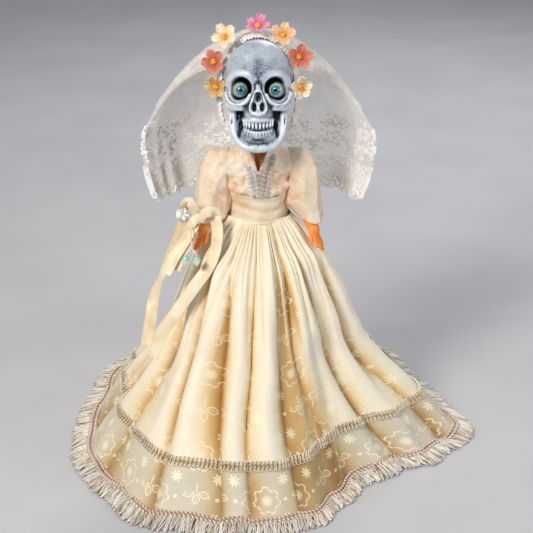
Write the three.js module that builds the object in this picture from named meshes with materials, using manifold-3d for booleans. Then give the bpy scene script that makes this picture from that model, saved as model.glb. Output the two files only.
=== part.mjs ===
// A skull-faced bride doll with a strung head and strung arms, dressed in a brocade gown with a train,
// a lace veil, a crown of paper flowers and a bunch of satin ribbon at its right wrist.
// Millimetres. +Z is up, the doll faces -Y, and its right hand is on the -X side. It stands on z = 0.
import * as THREE from "three";
import { mergeVertices } from "three/addons/utils/BufferGeometryUtils.js";
import Module from "manifold-3d";

const wasm = await Module();
wasm.setup();

// Driving dimensions.
const GAP = 0.4; // between pieces that touch
const WALL = 1.6; // moulded plastic
const CLOTH = 1.4; // folded and gathered cloth, as one layer
const BRAID = 1.6; // thickness of the woven trims
const DOLL_X = -7.6; // the doll's own axis in the part's frame: the gown spreads further to its left
const DOLL_Y = 0;
const SHOULDER_Z = 168;
const SHOULDER_X = 16.6; // half the width of the torso at the shoulder joints
const BAND_TOP_Z = 152; // the waistband runs from here down to the skirt
const SKIRT_TOP_Z = 138;
const WAIST_X = 18.2; // the gathered skirt's half width and half depth at its top
const WAIST_Y = 13.8;
const SLEEVE_HEM_Z = 141;
const NECK_Z = 181;
const NECK_RADIUS = 5.5;
const HEAD_Z = 207.6; // middle of the skull
const HEAD_TILT = THREE.MathUtils.degToRad(-14); // the face looks a little upwards
const SEAM_Y = 1; // where the skull's face and back meet, in the head's own frame
const EYE_X = 9.8; // middle of each eye, in the head's own frame
const EYE_Y = -12.5;
const EYE_Z = 3;
const EYE_RADIUS = 4.7;
const VEIL_SPLIT_Z = 185; // the veil turns with the head above this height
const VEIL_HEM_Z = 140;
const FRINGE_LENGTH = 9;
const HEM_BRAID_WIDTH = 5;
const SKIRT_BRAID_Z = 24;
const SKIRT_BRAID_HEIGHT = 6;
const COLUMNS = 36; // steps round the gown

// Colours of the materials, each with its roughness and metalness.
const FINISHES = {
  skull: ["#c3ccd6", 0.42, 0.05],
  eye: ["#4f8f9c", 0.08, 0],
  skin: ["#e0702c", 0.4, 0],
  wire: ["#8d8f92", 0.4, 0.9],
  elastic: ["#5b5148", 0.8, 0],
  satin: ["#ecd3b4", 0.45, 0],
  brocade: ["#e9d8b6", 0.55, 0],
  lining: ["#e3cda6", 0.7, 0],
  lace: ["#f1ebe6", 0.9, 0],
  braid: ["#cbb495", 0.6, 0.2],
  fringe: ["#d9c6ad", 0.8, 0],
  ribbon: ["#efe0c2", 0.4, 0],
  coral: ["#d9765c", 0.85, 0],
  peach: ["#e2b183", 0.85, 0],
  cream: ["#efe2c6", 0.85, 0],
  pink: ["#d9739f", 0.85, 0],
  gold: ["#c39a55", 0.85, 0],
  stamen: ["#f09a12", 0.6, 0],
  bud: ["#d4e4d2", 0.35, 0],
};

const root = new THREE.Group();
const doll = new THREE.Group();
doll.position.set(DOLL_X, DOLL_Y, 0);
root.add(doll);
const head = new THREE.Group(); // tilted frame of the skull and its crown
head.position.set(0, 0, HEAD_Z);
head.rotation.x = HEAD_TILT;
doll.add(head);

function put(name, finish, geometry, parent = doll) {
  const [color, roughness, metalness] = FINISHES[finish];
  const material = new THREE.MeshStandardMaterial({ color, roughness, metalness });
  const mesh = new THREE.Mesh(geometry, material);
  mesh.name = name;
  parent.add(mesh);
  return mesh;
}

// ---- Solids and booleans ----

function solidOf(geometry) {
  const bare = geometry.clone();
  bare.deleteAttribute("normal");
  bare.deleteAttribute("uv");
  const merged = mergeVertices(bare, 1e-4);
  return new wasm.Manifold(
    new wasm.Mesh({
      numProp: 3,
      vertProperties: new Float32Array(merged.attributes.position.array),
      triVerts: new Uint32Array(merged.index.array),
    }),
  );
}

function geometryOf(solid) {
  const mesh = solid.getMesh();
  const geometry = new THREE.BufferGeometry();
  geometry.setAttribute("position", new THREE.BufferAttribute(mesh.vertProperties, 3));
  geometry.setIndex(new THREE.BufferAttribute(mesh.triVerts, 1));
  geometry.computeVertexNormals();
  return geometry;
}

function union(solids) {
  return solids.reduce((whole, next) => whole.add(next));
}

function box(low, high) {
  const size = high.map((value, axis) => value - low[axis]);
  const geometry = new THREE.BoxGeometry(...size);
  geometry.translate(...low.map((value, axis) => value + size[axis] / 2));
  return solidOf(geometry);
}

function ellipsoid(centre, radii, segments = 14) {
  const geometry = new THREE.SphereGeometry(1, segments, Math.round(segments / 2));
  geometry.rotateX(Math.PI / 2);
  geometry.scale(...radii);
  geometry.translate(...centre);
  return solidOf(geometry);
}

// A cylinder from one point to another.
function rod(from, to, radius, segments = 12) {
  const start = new THREE.Vector3(...from);
  const way = new THREE.Vector3(...to).sub(start);
  const geometry = new THREE.CylinderGeometry(radius, radius, way.length(), segments);
  const up = new THREE.Vector3(0, 1, 0);
  const turn = new THREE.Quaternion().setFromUnitVectors(up, way.clone().normalize());
  geometry.applyQuaternion(turn);
  geometry.translate(...start.addScaledVector(way, 0.5).toArray());
  return solidOf(geometry);
}

// A closed surface through rings of equal length. The first and last ring are capped, or joined in a loop.
function loft(rings, looped = false) {
  const count = rings[0].length;
  const points = rings.flat();
  const faces = [];
  const bands = looped ? rings.length : rings.length - 1;
  for (let ring = 0; ring < bands; ring += 1) {
    const here = ring * count;
    const next = ((ring + 1) % rings.length) * count;
    for (let step = 0; step < count; step += 1) {
      const after = (step + 1) % count;
      faces.push(here + step, here + after, next + step);
      faces.push(here + after, next + after, next + step);
    }
  }
  if (!looped) {
    for (const [ring, forward] of [[0, false], [rings.length - 1, true]]) {
      const centre = new THREE.Vector3();
      rings[ring].forEach((point) => centre.addScaledVector(point, 1 / count));
      const middle = points.push(centre) - 1;
      for (let step = 0; step < count; step += 1) {
        const edge = [ring * count + step, ring * count + ((step + 1) % count)];
        faces.push(...(forward ? edge : edge.reverse()), middle);
      }
    }
  }
  return closedGeometry(points, faces);
}

// Indexed triangles as a geometry that faces outwards.
function closedGeometry(points, faces) {
  let volume = 0;
  for (let i = 0; i < faces.length; i += 3) {
    const [a, b, c] = [points[faces[i]], points[faces[i + 1]], points[faces[i + 2]]];
    volume += a.dot(new THREE.Vector3().crossVectors(b, c));
  }
  if (volume < 0) {
    faces.reverse();
  }
  const geometry = new THREE.BufferGeometry().setFromPoints(points);
  geometry.setIndex(faces);
  geometry.computeVertexNormals();
  return geometry;
}

function ellipseRing(x, y, z, radiusX, radiusY, count) {
  return Array.from({ length: count }, (_, step) => {
    const angle = (2 * Math.PI * step) / count;
    return new THREE.Vector3(x + radiusX * Math.sin(angle), y - radiusY * Math.cos(angle), z);
  });
}

// A limb with round ends: [x, y, z, radius] at each joint.
function limb(joints, segments = 8) {
  const parts = [];
  joints.forEach(([x, y, z, radius], index) => {
    parts.push(ellipsoid([x, y, z], [radius, radius, radius], segments));
    if (index > 0) {
      const [px, py, pz, pRadius] = joints[index - 1];
      parts.push(solidOf(loft([
        ellipseRing(px, py, pz, pRadius, pRadius, segments),
        ellipseRing(x, y, z, radius, radius, segments),
      ])));
    }
  });
  return union(parts);
}

// A sheet of cloth with a thickness: place(u, v) with u and v from 0 to 1.
function sheet(place, stepsU, stepsV, thickness) {
  const small = 1e-3;
  const points = [];
  const index = (side, i, j) => (side * (stepsU + 1) + i) * (stepsV + 1) + j;
  for (const side of [-0.5, 0.5]) {
    for (let i = 0; i <= stepsU; i += 1) {
      for (let j = 0; j <= stepsV; j += 1) {
        const u = i / stepsU;
        const v = j / stepsV;
        const alongU = place(u + small, v).sub(place(u - small, v));
        const alongV = place(u, v + small).sub(place(u, v - small));
        const normal = alongU.cross(alongV).normalize();
        points.push(place(u, v).addScaledVector(normal, side * thickness));
      }
    }
  }
  const faces = [];
  const quad = (a, b, c, d) => faces.push(a, b, c, a, c, d);
  for (let i = 0; i < stepsU; i += 1) {
    for (let j = 0; j < stepsV; j += 1) {
      quad(index(0, i, j), index(0, i, j + 1), index(0, i + 1, j + 1), index(0, i + 1, j));
      quad(index(1, i, j), index(1, i + 1, j), index(1, i + 1, j + 1), index(1, i, j + 1));
    }
    quad(index(0, i, 0), index(0, i + 1, 0), index(1, i + 1, 0), index(1, i, 0));
    quad(index(1, i, stepsV), index(1, i + 1, stepsV), index(0, i + 1, stepsV), index(0, i, stepsV));
  }
  for (let j = 0; j < stepsV; j += 1) {
    quad(index(1, 0, j), index(1, 0, j + 1), index(0, 0, j + 1), index(0, 0, j));
    quad(index(0, stepsU, j), index(0, stepsU, j + 1), index(1, stepsU, j + 1), index(1, stepsU, j));
  }
  return closedGeometry(points, faces);
}

// A flat ribbon along a curve. Its width lies across both the curve and the direction away from the gown.
function ribbon(route, width, thickness, outward, steps = 16) {
  const curve = new THREE.CatmullRomCurve3(route.map((point) => new THREE.Vector3(...point)));
  const away = new THREE.Vector3(...outward).normalize();
  const rings = [];
  for (let step = 0; step <= steps; step += 1) {
    const centre = curve.getPointAt(step / steps);
    const tangent = curve.getTangentAt(step / steps);
    const side = new THREE.Vector3().crossVectors(tangent, away).normalize();
    const face = new THREE.Vector3().crossVectors(side, tangent);
    rings.push([[-1, -1], [1, -1], [1, 1], [-1, 1]].map(([across, through]) =>
      centre.clone()
        .addScaledVector(side, (across * width) / 2)
        .addScaledVector(face, (through * thickness) / 2)));
  }
  return loft(rings);
}

// ---- Doll body ----

// The torso's skin, grown outwards by a distance.
function torso(grow) {
  return union([
    ellipsoid([0, 0, 158], [14.4 + grow, 10 + grow, 16 + grow]),
    ellipsoid([0, -1, 142], [13.4 + grow, 10.5 + grow, 18 + grow]),
    ellipsoid([0, 0, 119], [15 + grow, 11.5 + grow, 14 + grow]),
    rod([-SHOULDER_X - grow, 0, SHOULDER_Z], [SHOULDER_X + grow, 0, SHOULDER_Z], 5.6 + grow, 14),
  ]);
}

function legs(grow, lowestZ) {
  return union([-1, 1].map((side) => limb([
    [side * 8, 0, 114, 7.4 + grow],
    [side * 7.6, -1, 64, 5.6 + grow],
    [side * 7.6, 0, lowestZ, 4.6 + grow],
  ])));
}

// A moulded shoe with a flat sole.
function shoe(side) {
  const outline = new THREE.Shape();
  outline.absarc(0, 3, 5, 0, Math.PI);
  outline.absarc(0, -9, 5.6, Math.PI, 2 * Math.PI);
  outline.closePath();
  const sole = new THREE.ExtrudeGeometry(outline, { depth: 6, bevelEnabled: false, curveSegments: 5 });
  sole.translate(side * 7.6, 0, 0);
  return solidOf(sole).add(ellipsoid([side * 7.6, -2, 6], [5, 9, 6], 10));
}

function bodyShells() {
  const hookHole = rod([-30, 0, SHOULDER_Z], [30, 0, SHOULDER_Z], 1.8);
  const neckTube = rod([0, 0, SHOULDER_Z], [0, 0, NECK_Z], NECK_RADIUS, 14);
  const neckBore = rod([0, 0, SHOULDER_Z], [0, 0, NECK_Z + 9], 3.2);
  const outside = union([torso(0), legs(0, 14), shoe(-1), shoe(1), neckTube]);
  const inside = union([torso(-WALL), legs(-WALL, 20), neckBore]);
  const shell = outside.subtract(inside).subtract(hookHole).intersect(box([-40, -40, 0], [40, 40, 250]));
  put("body_front_shell", "skin", geometryOf(shell.intersect(box([-60, -60, -1], [60, -GAP / 2, 250]))));
  put("body_back_shell", "skin", geometryOf(shell.intersect(box([-60, GAP / 2, -1], [60, 60, 250]))));
  const inner = SHOULDER_X - WALL - GAP;
  put("stringing_elastic", "elastic", geometryOf(rod([-inner, 0, SHOULDER_Z], [inner, 0, SHOULDER_Z], 1)));
}

// ---- Head ----

// The skull's outer form, grown by a distance, in the head's own frame.
function skullForm(grow) {
  const cheek = (side) => ellipsoid([side * 12, -12, -3], [5.5 + grow, 6.5 + grow, 4.5 + grow], 8);
  return union([
    ellipsoid([0, 4, 7.5], [20.5 + grow, 22.5 + grow, 23.3 + grow], 16),
    ellipsoid([0, -6, -8], [16.5 + grow, 15.5 + grow, 22.5 + grow], 14),
    cheek(-1),
    cheek(1),
  ]);
}

function skull() {
  const sockets = [-1, 1].map((side) => ellipsoid([side * EYE_X, -17, EYE_Z], [6.3, 10.5, 6.3], 12));
  const nose = ellipsoid([0, -22, -6], [3.4, 5, 5], 12);
  const mouth = box([-8, -30, -19.6], [8, -19, -18.6]);
  const tilt = THREE.MathUtils.radToDeg(HEAD_TILT);
  const neckHole = rod([0, 0, -40], [0, 0, -14], 6.2, 12).rotate([-tilt, 0, 0]);
  const shell = skullForm(0)
    .subtract(skullForm(-2))
    .subtract(union([...sockets, nose, mouth, neckHole]));
  const front = shell.intersect(box([-50, -50, -50], [50, SEAM_Y - GAP / 2, 50]));
  const back = shell.intersect(box([-50, SEAM_Y + GAP / 2, -50], [50, 50, 50]));
  put("skull_face", "skull", geometryOf(front), head);
  put("skull_back", "skull", geometryOf(back), head);
  const eyeRadii = [EYE_RADIUS, EYE_RADIUS, EYE_RADIUS];
  for (const [name, side] of [["eye_right", -1], ["eye_left", 1]]) {
    const ball = ellipsoid([side * EYE_X, EYE_Y, EYE_Z], eyeRadii, 12);
    put(name, "eye", geometryOf(ball), head);
  }
}

// The plug that closes the skull's neck hole, and the wire hook that strings the head to the body.
function neck() {
  const plug = rod([0, 0, NECK_Z + 1.4], [0, 0, NECK_Z + 8], 5.4, 12);
  const hook = rod([0, 0, SHOULDER_Z + 2], [0, 0, NECK_Z + 1], 0.8);
  put("neck_plug", "skin", geometryOf(plug));
  put("head_hook", "wire", geometryOf(hook));
}

const CROWN_X = 21.4; // the headband's half width and height over the skull's middle
const CROWN_Z = 31.6;

function headband() {
  const thickness = 2.2;
  const width = 7;
  const steps = 18;
  const reach = THREE.MathUtils.degToRad(102);
  const rings = [];
  for (let step = 0; step <= steps; step += 1) {
    const angle = -reach + (2 * reach * step) / steps;
    rings.push([[0, -1], [1, -1], [1, 1], [0, 1]].map(([out, along]) => new THREE.Vector3(
      (CROWN_X + out * thickness) * Math.sin(angle),
      (along * width) / 2 + 1,
      (CROWN_Z - 8 + out * thickness) * Math.cos(angle) + 8,
    )));
  }
  put("headband", "lace", loft(rings), head);
}

// Paper flowers round the crown: centre, the way each one faces, and its size.
const FLOWERS = [
  { at: [-24.4, -4.4, 4], faces: [-0.75, -1, 0.05], size: 6.6, finish: "gold" },
  { at: [-25.2, -4.2, 18.2], faces: [-0.45, -1, 0.1], size: 7.6, finish: "coral" },
  { at: [-18.2, -4.6, 31], faces: [-0.2, -1, 0.25], size: 7.8, finish: "cream" },
  { at: [-0.4, -3.6, 36], faces: [0, -1, 0.7], size: 7.6, finish: "pink" },
  { at: [13.6, -4.6, 32.6], faces: [0.15, -1, 0.3], size: 7.4, finish: "peach" },
  { at: [24.2, -4.2, 20], faces: [0.35, -1, 0.1], size: 7.6, finish: "coral" },
  { at: [24.8, -4.4, 3.6], faces: [0.7, -1, 0], size: 7, finish: "cream" },
];

// Five round petals as one thick rosette, with its stamen standing just in front.
function flower({ at, faces, size, finish }, number) {
  const outline = new THREE.Shape();
  const points = 20;
  for (let step = 0; step < points; step += 1) {
    const angle = (2 * Math.PI * step) / points;
    const radius = size * (0.78 + 0.22 * Math.cos(5 * angle));
    outline[step ? "lineTo" : "moveTo"](radius * Math.cos(angle), radius * Math.sin(angle));
  }
  outline.closePath();
  const petals = new THREE.ExtrudeGeometry(outline, { depth: 1.8, bevelEnabled: false });
  const stamen = new THREE.CylinderGeometry(1, 1.4, 1.8, 10);
  stamen.rotateX(Math.PI / 2);
  stamen.translate(0, 0, 1.8 + GAP + 0.9);
  const place = new THREE.Group();
  place.position.set(...at);
  const forwards = new THREE.Vector3(...faces).normalize();
  place.quaternion.setFromUnitVectors(new THREE.Vector3(0, 0, 1), forwards);
  head.add(place);
  put(`flower_${number}`, finish, petals, place);
  put(`flower_centre_${number}`, "stamen", stamen, place);
}

// ---- Arms ----

// Middle and radius of the arm, the hand and the sleeve on the doll's left: [x, y, z, radius].
const ARM = [[21, 0, SHOULDER_Z, 5.2], [24.8, -2, 152, 4.6], [28.4, -8, 138, 3.6]];
const HAND = [[28.4, -8, 138, 3.6], [31.6, -11, 130, 4.2], [36, -14, 122.5, 2]];
const SLEEVE = [[20.8, 0, SHOULDER_Z - 1, 10.2], [26.6, -1.5, 150, 9.4], [28.6, -4.2, 136, 10]];

// One arm, its stringing hook and its sleeve. Side is -1 for the doll's right.
function arm(side, name) {
  const jointX = SHOULDER_X + 1.2;
  const route = (joints, grow = 0) => joints.map(([x, y, z, radius]) => [side * x, y, z, radius + grow]);
  // The half of space on the arm's side of a plane that stands across X, above a height.
  const outwards = (x, lowZ) => {
    const edges = [side * x, side * 90];
    return box([Math.min(...edges), -60, lowZ], [Math.max(...edges), 60, 200]);
  };
  const flesh = union([limb(route(ARM)), limb(route(HAND))]);
  put(`${name}_arm`, "skin", geometryOf(flesh.intersect(outwards(jointX, 90))));
  const hookStart = [side * (SHOULDER_X - WALL + 0.2), 0, SHOULDER_Z];
  const hookEnd = [side * (jointX - GAP), 0, SHOULDER_Z];
  put(`${name}_arm_hook`, "wire", geometryOf(rod(hookStart, hookEnd, 1)));

  const outer = limb(route(SLEEVE), 10);
  const inner = limb(route(SLEEVE, -CLOTH), 10);
  const sleeve = outer.subtract(inner).intersect(outwards(jointX + 0.2, SLEEVE_HEM_Z));
  put(`${name}_sleeve`, "satin", geometryOf(sleeve));
}

// ---- Gown ----

function bodice() {
  const halfWidth = SHOULDER_X + 0.9;
  const span = box([-halfWidth, -40, BAND_TOP_Z + GAP], [halfWidth, 40, 180]);
  const armhole = (side) => rod([side * 14.2, 0, SHOULDER_Z], [side * 40, 0, SHOULDER_Z], 6.6, 12);
  const neckHole = rod([0, 0, 160], [0, 0, 190], NECK_RADIUS + 1.4, 14);
  const vee = neckline(6, 164, 172).intersect(box([-30, -40, 100], [30, 0, 200]));
  const cloth = torso(GAP + CLOTH).subtract(torso(GAP)).intersect(span);
  const openings = union([armhole(-1), armhole(1), neckHole, vee]);
  put("bodice", "satin", geometryOf(cloth.subtract(openings)));

  const skin = torso(2 * GAP + CLOTH + BRAID).subtract(torso(2 * GAP + CLOTH));
  const strip = neckline(11, 155, 172).subtract(neckline(6, 164, 177));
  const trim = skin.intersect(strip).intersect(box([-30, -40, BAND_TOP_Z + 2 * GAP], [30, -4, 173]));
  put("neckline_braid", "braid", geometryOf(trim));
}

// A long triangle that points down, standing across the doll's front.
function neckline(halfWidth, lowZ, highZ) {
  const outline = new THREE.Shape();
  outline.moveTo(-halfWidth, highZ);
  outline.lineTo(-1.5, lowZ);
  outline.lineTo(1.5, lowZ);
  outline.lineTo(halfWidth, highZ);
  outline.lineTo(halfWidth, highZ + 20);
  outline.lineTo(-halfWidth, highZ + 20);
  outline.closePath();
  const prism = new THREE.ExtrudeGeometry(outline, { depth: 40, bevelEnabled: false });
  prism.rotateX(Math.PI / 2);
  return solidOf(prism);
}

function waistband() {
  const rings = [[SKIRT_TOP_Z + GAP, 15.8, 13.4], [BAND_TOP_Z, 15.6, 12.6]];
  const outer = rings.map(([z, x, y]) => ellipseRing(0, 0, z, x + CLOTH, y + CLOTH, COLUMNS));
  const inner = rings.map(([z, x, y]) => ellipseRing(0, 0, z, x, y, COLUMNS)).reverse();
  put("waistband", "satin", loft([...outer, ...inner], true));
}

// Two small snap fasteners close the gown's back opening.
function snaps() {
  for (const [name, z, y] of [["back_snap_upper", 167, 11.4], ["back_snap_lower", 157, 12.4]]) {
    put(name, "wire", geometryOf(rod([0, y, z], [0, y + 1.6, z], 2.2, 14)));
  }
}

// Where the fringe ends on the floor: [bearing in degrees from the front towards +X, distance].
const HEM_OUTLINE = [
  [-180, 124], [-150, 132], [-125, 122], [-104, 111.6], [-84, 112.6], [-62, 119], [-47, 122],
  [-30, 131], [-16, 126], [4, 124], [16, 119], [27, 106], [40, 96], [54, 101], [68, 117], [84, 131],
  [100, 120], [118, 117], [140, 130], [160, 128],
];

function hemRadius(bearing) {
  const count = HEM_OUTLINE.length;
  for (let i = 0; i < count; i += 1) {
    const [from, near] = HEM_OUTLINE[i];
    const [to, far] = i + 1 < count ? HEM_OUTLINE[i + 1] : [180, HEM_OUTLINE[0][1]];
    if (bearing <= to) {
      const share = (bearing - from) / (to - from);
      const eased = (1 - Math.cos(Math.PI * share)) / 2;
      return near + (far - near) * eased;
    }
  }
  return HEM_OUTLINE[0][1];
}

// How far the cloth has spread at each height: [z, share of the way from the waist to the hem].
const SKIRT_PROFILE = [
  [SKIRT_TOP_Z, 0], [131, 0.06], [122, 0.13], [114, 0.235], [107, 0.3], [87, 0.42], [69, 0.525], [48, 0.7],
  [24, 0.82], [10, 0.92], [1.6, 1],
];

function skirtShare(z) {
  for (let i = 1; i < SKIRT_PROFILE.length; i += 1) {
    const [low, far] = SKIRT_PROFILE[i];
    if (z >= low) {
      const [high, near] = SKIRT_PROFILE[i - 1];
      return far + ((near - far) * (z - low)) / (high - low);
    }
  }
  return 1;
}

// Towards the doll's sides the cloth hangs closer before it spreads over the floor.
function sideTuck(bearing, z) {
  const side = 0.35 + 0.65 * Math.sin(THREE.MathUtils.degToRad(bearing)) ** 2;
  const belowHips = THREE.MathUtils.smoothstep(128 - z, 0, 26);
  const aboveFloor = THREE.MathUtils.smoothstep(z, 8, 62);
  return 1 - 0.36 * side * belowHips * aboveFloor;
}

// A ring of the gown at a height, moved outwards by a distance.
function gownRing(z, outwards) {
  return Array.from({ length: COLUMNS }, (_, step) => {
    const bearing = -180 + (360 * step) / COLUMNS;
    const angle = THREE.MathUtils.degToRad(bearing);
      const waist = WAIST_X + (WAIST_Y - WAIST_X) * Math.cos(angle) ** 2;
    const hem = hemRadius(bearing) - FRINGE_LENGTH - HEM_BRAID_WIDTH - 3 * GAP;
    const share = skirtShare(z) * sideTuck(bearing, z);
    const radius = waist + (hem - waist) * share + outwards;
    return new THREE.Vector3(radius * Math.sin(angle), -radius * Math.cos(angle), z);
  });
}

// A ring of the trims that lie on the floor, measured inwards from the fringe's ends.
function floorRing(z, inwards) {
  return Array.from({ length: COLUMNS }, (_, step) => {
    const bearing = -180 + (360 * step) / COLUMNS;
    const angle = THREE.MathUtils.degToRad(bearing);
    const radius = hemRadius(bearing) - inwards;
    return new THREE.Vector3(radius * Math.sin(angle), -radius * Math.cos(angle), z);
  });
}

function skirt() {
  const heights = SKIRT_PROFILE.map(([z]) => z);
  const outer = heights.map((z) => gownRing(z, 0));
  const inner = heights.map((z) => gownRing(Math.max(z - CLOTH, 0), -CLOTH)).reverse();
  put("skirt", "brocade", loft([...outer, ...inner], true));
}

function petticoat() {
  const heights = [SKIRT_TOP_Z - 2, 122, 107, 87, 69, 48, 30];
  const outer = heights.map((z) => gownRing(z, -CLOTH - 2.4));
  const inner = heights.map((z) => gownRing(z, -2 * CLOTH - 2)).reverse();
  put("petticoat", "lining", loft([...outer, ...inner], true));
}

function trims() {
  const top = SKIRT_BRAID_Z + SKIRT_BRAID_HEIGHT / 2;
  const foot = SKIRT_BRAID_Z - SKIRT_BRAID_HEIGHT / 2;
  put("skirt_braid", "braid", loft([
    gownRing(top, 0.6),
    gownRing(top, 0.6 + BRAID),
    gownRing(foot, 0.6 + BRAID),
    gownRing(foot, 0.6),
  ], true));
  const braidIn = FRINGE_LENGTH + GAP + HEM_BRAID_WIDTH;
  put("hem_braid", "braid", loft([
    floorRing(2.4, braidIn),
    floorRing(2, FRINGE_LENGTH + GAP),
    floorRing(0, FRINGE_LENGTH + GAP),
    floorRing(0, braidIn),
  ], true));
  put("hem_fringe", "fringe", loft([
    floorRing(1.8, FRINGE_LENGTH),
    floorRing(1, 0),
    floorRing(0, 0),
    floorRing(0, FRINGE_LENGTH),
  ], true));
}

// ---- Veil ----

const VEIL_REACH = THREE.MathUtils.degToRad(97); // how far the veil comes round from behind, each way
const VEIL_HALF_WIDTH = 67;
const VEIL_BACK_Y = 40;
const VEIL_SIDE_Y = 10;

// A point on the veil's curve at a height share: along is -1 at the doll's right edge and 1 at its left.
function veilEdge(along, halfWidth, z) {
  const angle = along * VEIL_REACH;
  const depth = VEIL_SIDE_Y + (VEIL_BACK_Y - VEIL_SIDE_Y) * Math.max(0, Math.cos(angle));
  return new THREE.Vector3(halfWidth * Math.sin(angle), depth, z);
}

function veil() {
  const crown = (along) => new THREE.Vector3(
    23 * Math.sin(along * 1.2),
    17 - 4 * Math.abs(along),
    HEAD_Z - 2 + 33.5 * Math.cos(along * 1.2),
  );
  const upper = (u, v) => {
    const along = 2 * u - 1;
    const start = crown(along);
    const end = veilEdge(along, VEIL_HALF_WIDTH - 4, VEIL_SPLIT_Z - 3);
    const bend = new THREE.Vector3(end.x * 0.72, end.y + 4, start.z + 1);
    return start.multiplyScalar((1 - v) ** 2)
      .addScaledVector(bend, 2 * v * (1 - v))
      .addScaledVector(end, v ** 2);
  };
  const lower = (u, v) => {
    const along = 2 * u - 1;
    const start = veilEdge(along, VEIL_HALF_WIDTH - 4, VEIL_SPLIT_Z + 3);
    const end = veilEdge(along, VEIL_HALF_WIDTH - 11, VEIL_HEM_Z);
    const bulge = 4 * v * (1 - v) * 3;
    return start.lerp(end, v).add(new THREE.Vector3(along * bulge, 0, 0));
  };
  const above = box([-99, -99, VEIL_SPLIT_Z + GAP], [99, 99, 260]);
  const below = box([-99, -99, 0], [99, 99, VEIL_SPLIT_Z - GAP]);
  put("veil_upper", "lace", geometryOf(solidOf(sheet(upper, 16, 6, 1)).intersect(above)));
  put("veil_lower", "lace", geometryOf(solidOf(sheet(lower, 16, 3, 1)).intersect(below)));
}

// ---- Ribbons at the right wrist ----

const KNOT = [-33, -19, 142];
const RIBBON_WIDTH = 7;
const RIBBON_THICKNESS = 0.6;

function satinRibbon(name, route, outward, steps) {
  put(name, "ribbon", ribbon(route, RIBBON_WIDTH, RIBBON_THICKNESS, outward, steps));
}

function wristRibbons() {
  const [x, y, z] = KNOT;
  put("ribbon_knot", "ribbon", geometryOf(ellipsoid(KNOT, [5, 2.6, 4], 10)));
  put("lace_frill", "lace", geometryOf(rod([x - 10, y + 1, z + 3], [x - 10, y - 1, z + 3], 4.4, 18)));
  const longStreamer = [
    [x - 9, y + 4, z - 4], [x - 13, y + 5, z - 16], [x - 20, y + 6, z - 32],
    [x - 27, y + 4, z - 50], [x - 29, y - 2, z - 62], [x - 32, y - 7, z - 76],
  ];
  satinRibbon("ribbon_streamer_long", longStreamer, [-0.8, -1, 0.2]);
  const shortTail = [
    [x - 4, y - 2, z - 6], [x - 9, y - 6, z - 13], [x - 14, y - 9, z - 20], [x - 19, y - 12, z - 29],
  ];
  satinRibbon("ribbon_tail_short", shortTail, [-0.5, -1, 0.3], 8);
  const loopTail = [
    [x + 9, y - 1, z + 1], [x + 10, y - 5, z - 9], [x + 7, y - 11, z - 22], [x - 4, y - 19, z - 36],
    [x - 13, y - 23, z - 48], [x - 22, y - 25, z - 62], [x - 26, y - 28, z - 74],
  ];
  satinRibbon("ribbon_streamer_front", loopTail, [-0.4, -1, 0.3]);
  const threadEnd = [x - 4, y - 14.6, z - 15.6];
  put("bud_thread", "fringe", geometryOf(rod([x - 4, y - 8, z - 8], threadEnd, 0.5, 8)));
  put("bud_right", "bud", geometryOf(ellipsoid([x - 7.4, y - 16, z - 19.6], [2, 2, 3.2], 8)));
  put("bud_left", "bud", geometryOf(ellipsoid([x - 1, y - 17.4, z - 19.2], [2, 2, 3.2], 8)));
}

bodyShells();
skull();
neck();
headband();
FLOWERS.forEach((spec, index) => flower(spec, index + 1));
arm(-1, "right");
arm(1, "left");
bodice();
waistband();
snaps();
petticoat();
skirt();
trims();
veil();
wristRibbons();

export default root;
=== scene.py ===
"""A skull-faced bride doll in a brocade gown, with a lace veil, a crown of paper flowers and ribbons at its wrist.

Lengths are millimetres in the doll's own frame: x to its left, y backwards, z up from the floor.
frame_points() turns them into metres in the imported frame.
"""

import math

import bpy
import numpy as np
from mathutils import Matrix, Vector


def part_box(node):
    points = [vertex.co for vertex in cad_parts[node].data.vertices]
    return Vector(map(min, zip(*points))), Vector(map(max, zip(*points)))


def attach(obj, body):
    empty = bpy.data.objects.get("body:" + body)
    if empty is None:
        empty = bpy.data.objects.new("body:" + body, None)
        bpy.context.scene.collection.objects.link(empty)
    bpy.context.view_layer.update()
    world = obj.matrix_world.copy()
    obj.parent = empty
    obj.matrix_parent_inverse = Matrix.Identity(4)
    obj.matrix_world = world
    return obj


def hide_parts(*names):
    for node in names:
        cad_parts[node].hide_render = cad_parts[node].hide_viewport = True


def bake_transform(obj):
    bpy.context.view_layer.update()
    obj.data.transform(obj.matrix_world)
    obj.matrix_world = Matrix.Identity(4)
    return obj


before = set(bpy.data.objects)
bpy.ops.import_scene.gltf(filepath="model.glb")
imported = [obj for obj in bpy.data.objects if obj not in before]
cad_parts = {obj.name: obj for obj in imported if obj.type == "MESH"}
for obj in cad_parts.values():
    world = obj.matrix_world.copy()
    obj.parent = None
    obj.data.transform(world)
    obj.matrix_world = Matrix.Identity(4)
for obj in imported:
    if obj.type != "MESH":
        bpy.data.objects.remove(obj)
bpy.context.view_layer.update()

MM = 0.001
AXIS_X = (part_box("neck_plug")[0].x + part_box("neck_plug")[1].x) / 2

# Driving dimensions, the same as the CAD model's.
SHOULDER_Z = 168
BAND_TOP_Z = 152
SKIRT_TOP_Z = 138
ARM_JOINT_X = 17.9
SLEEVE_HEM_Z = 141
HEAD_Z = 207.6
HEAD_TILT = math.radians(-14)
FRINGE_LENGTH = 9
HEM_BRAID_WIDTH = 5
SKIRT_BRAID_Z = 24
VEIL_SPLIT_Z = 185
VEIL_HEM_Z = 140


# ---- Points and meshes ----


def frame_points(points):
    return np.asarray(points, float) * MM + np.array([AXIS_X, 0, 0])


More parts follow.
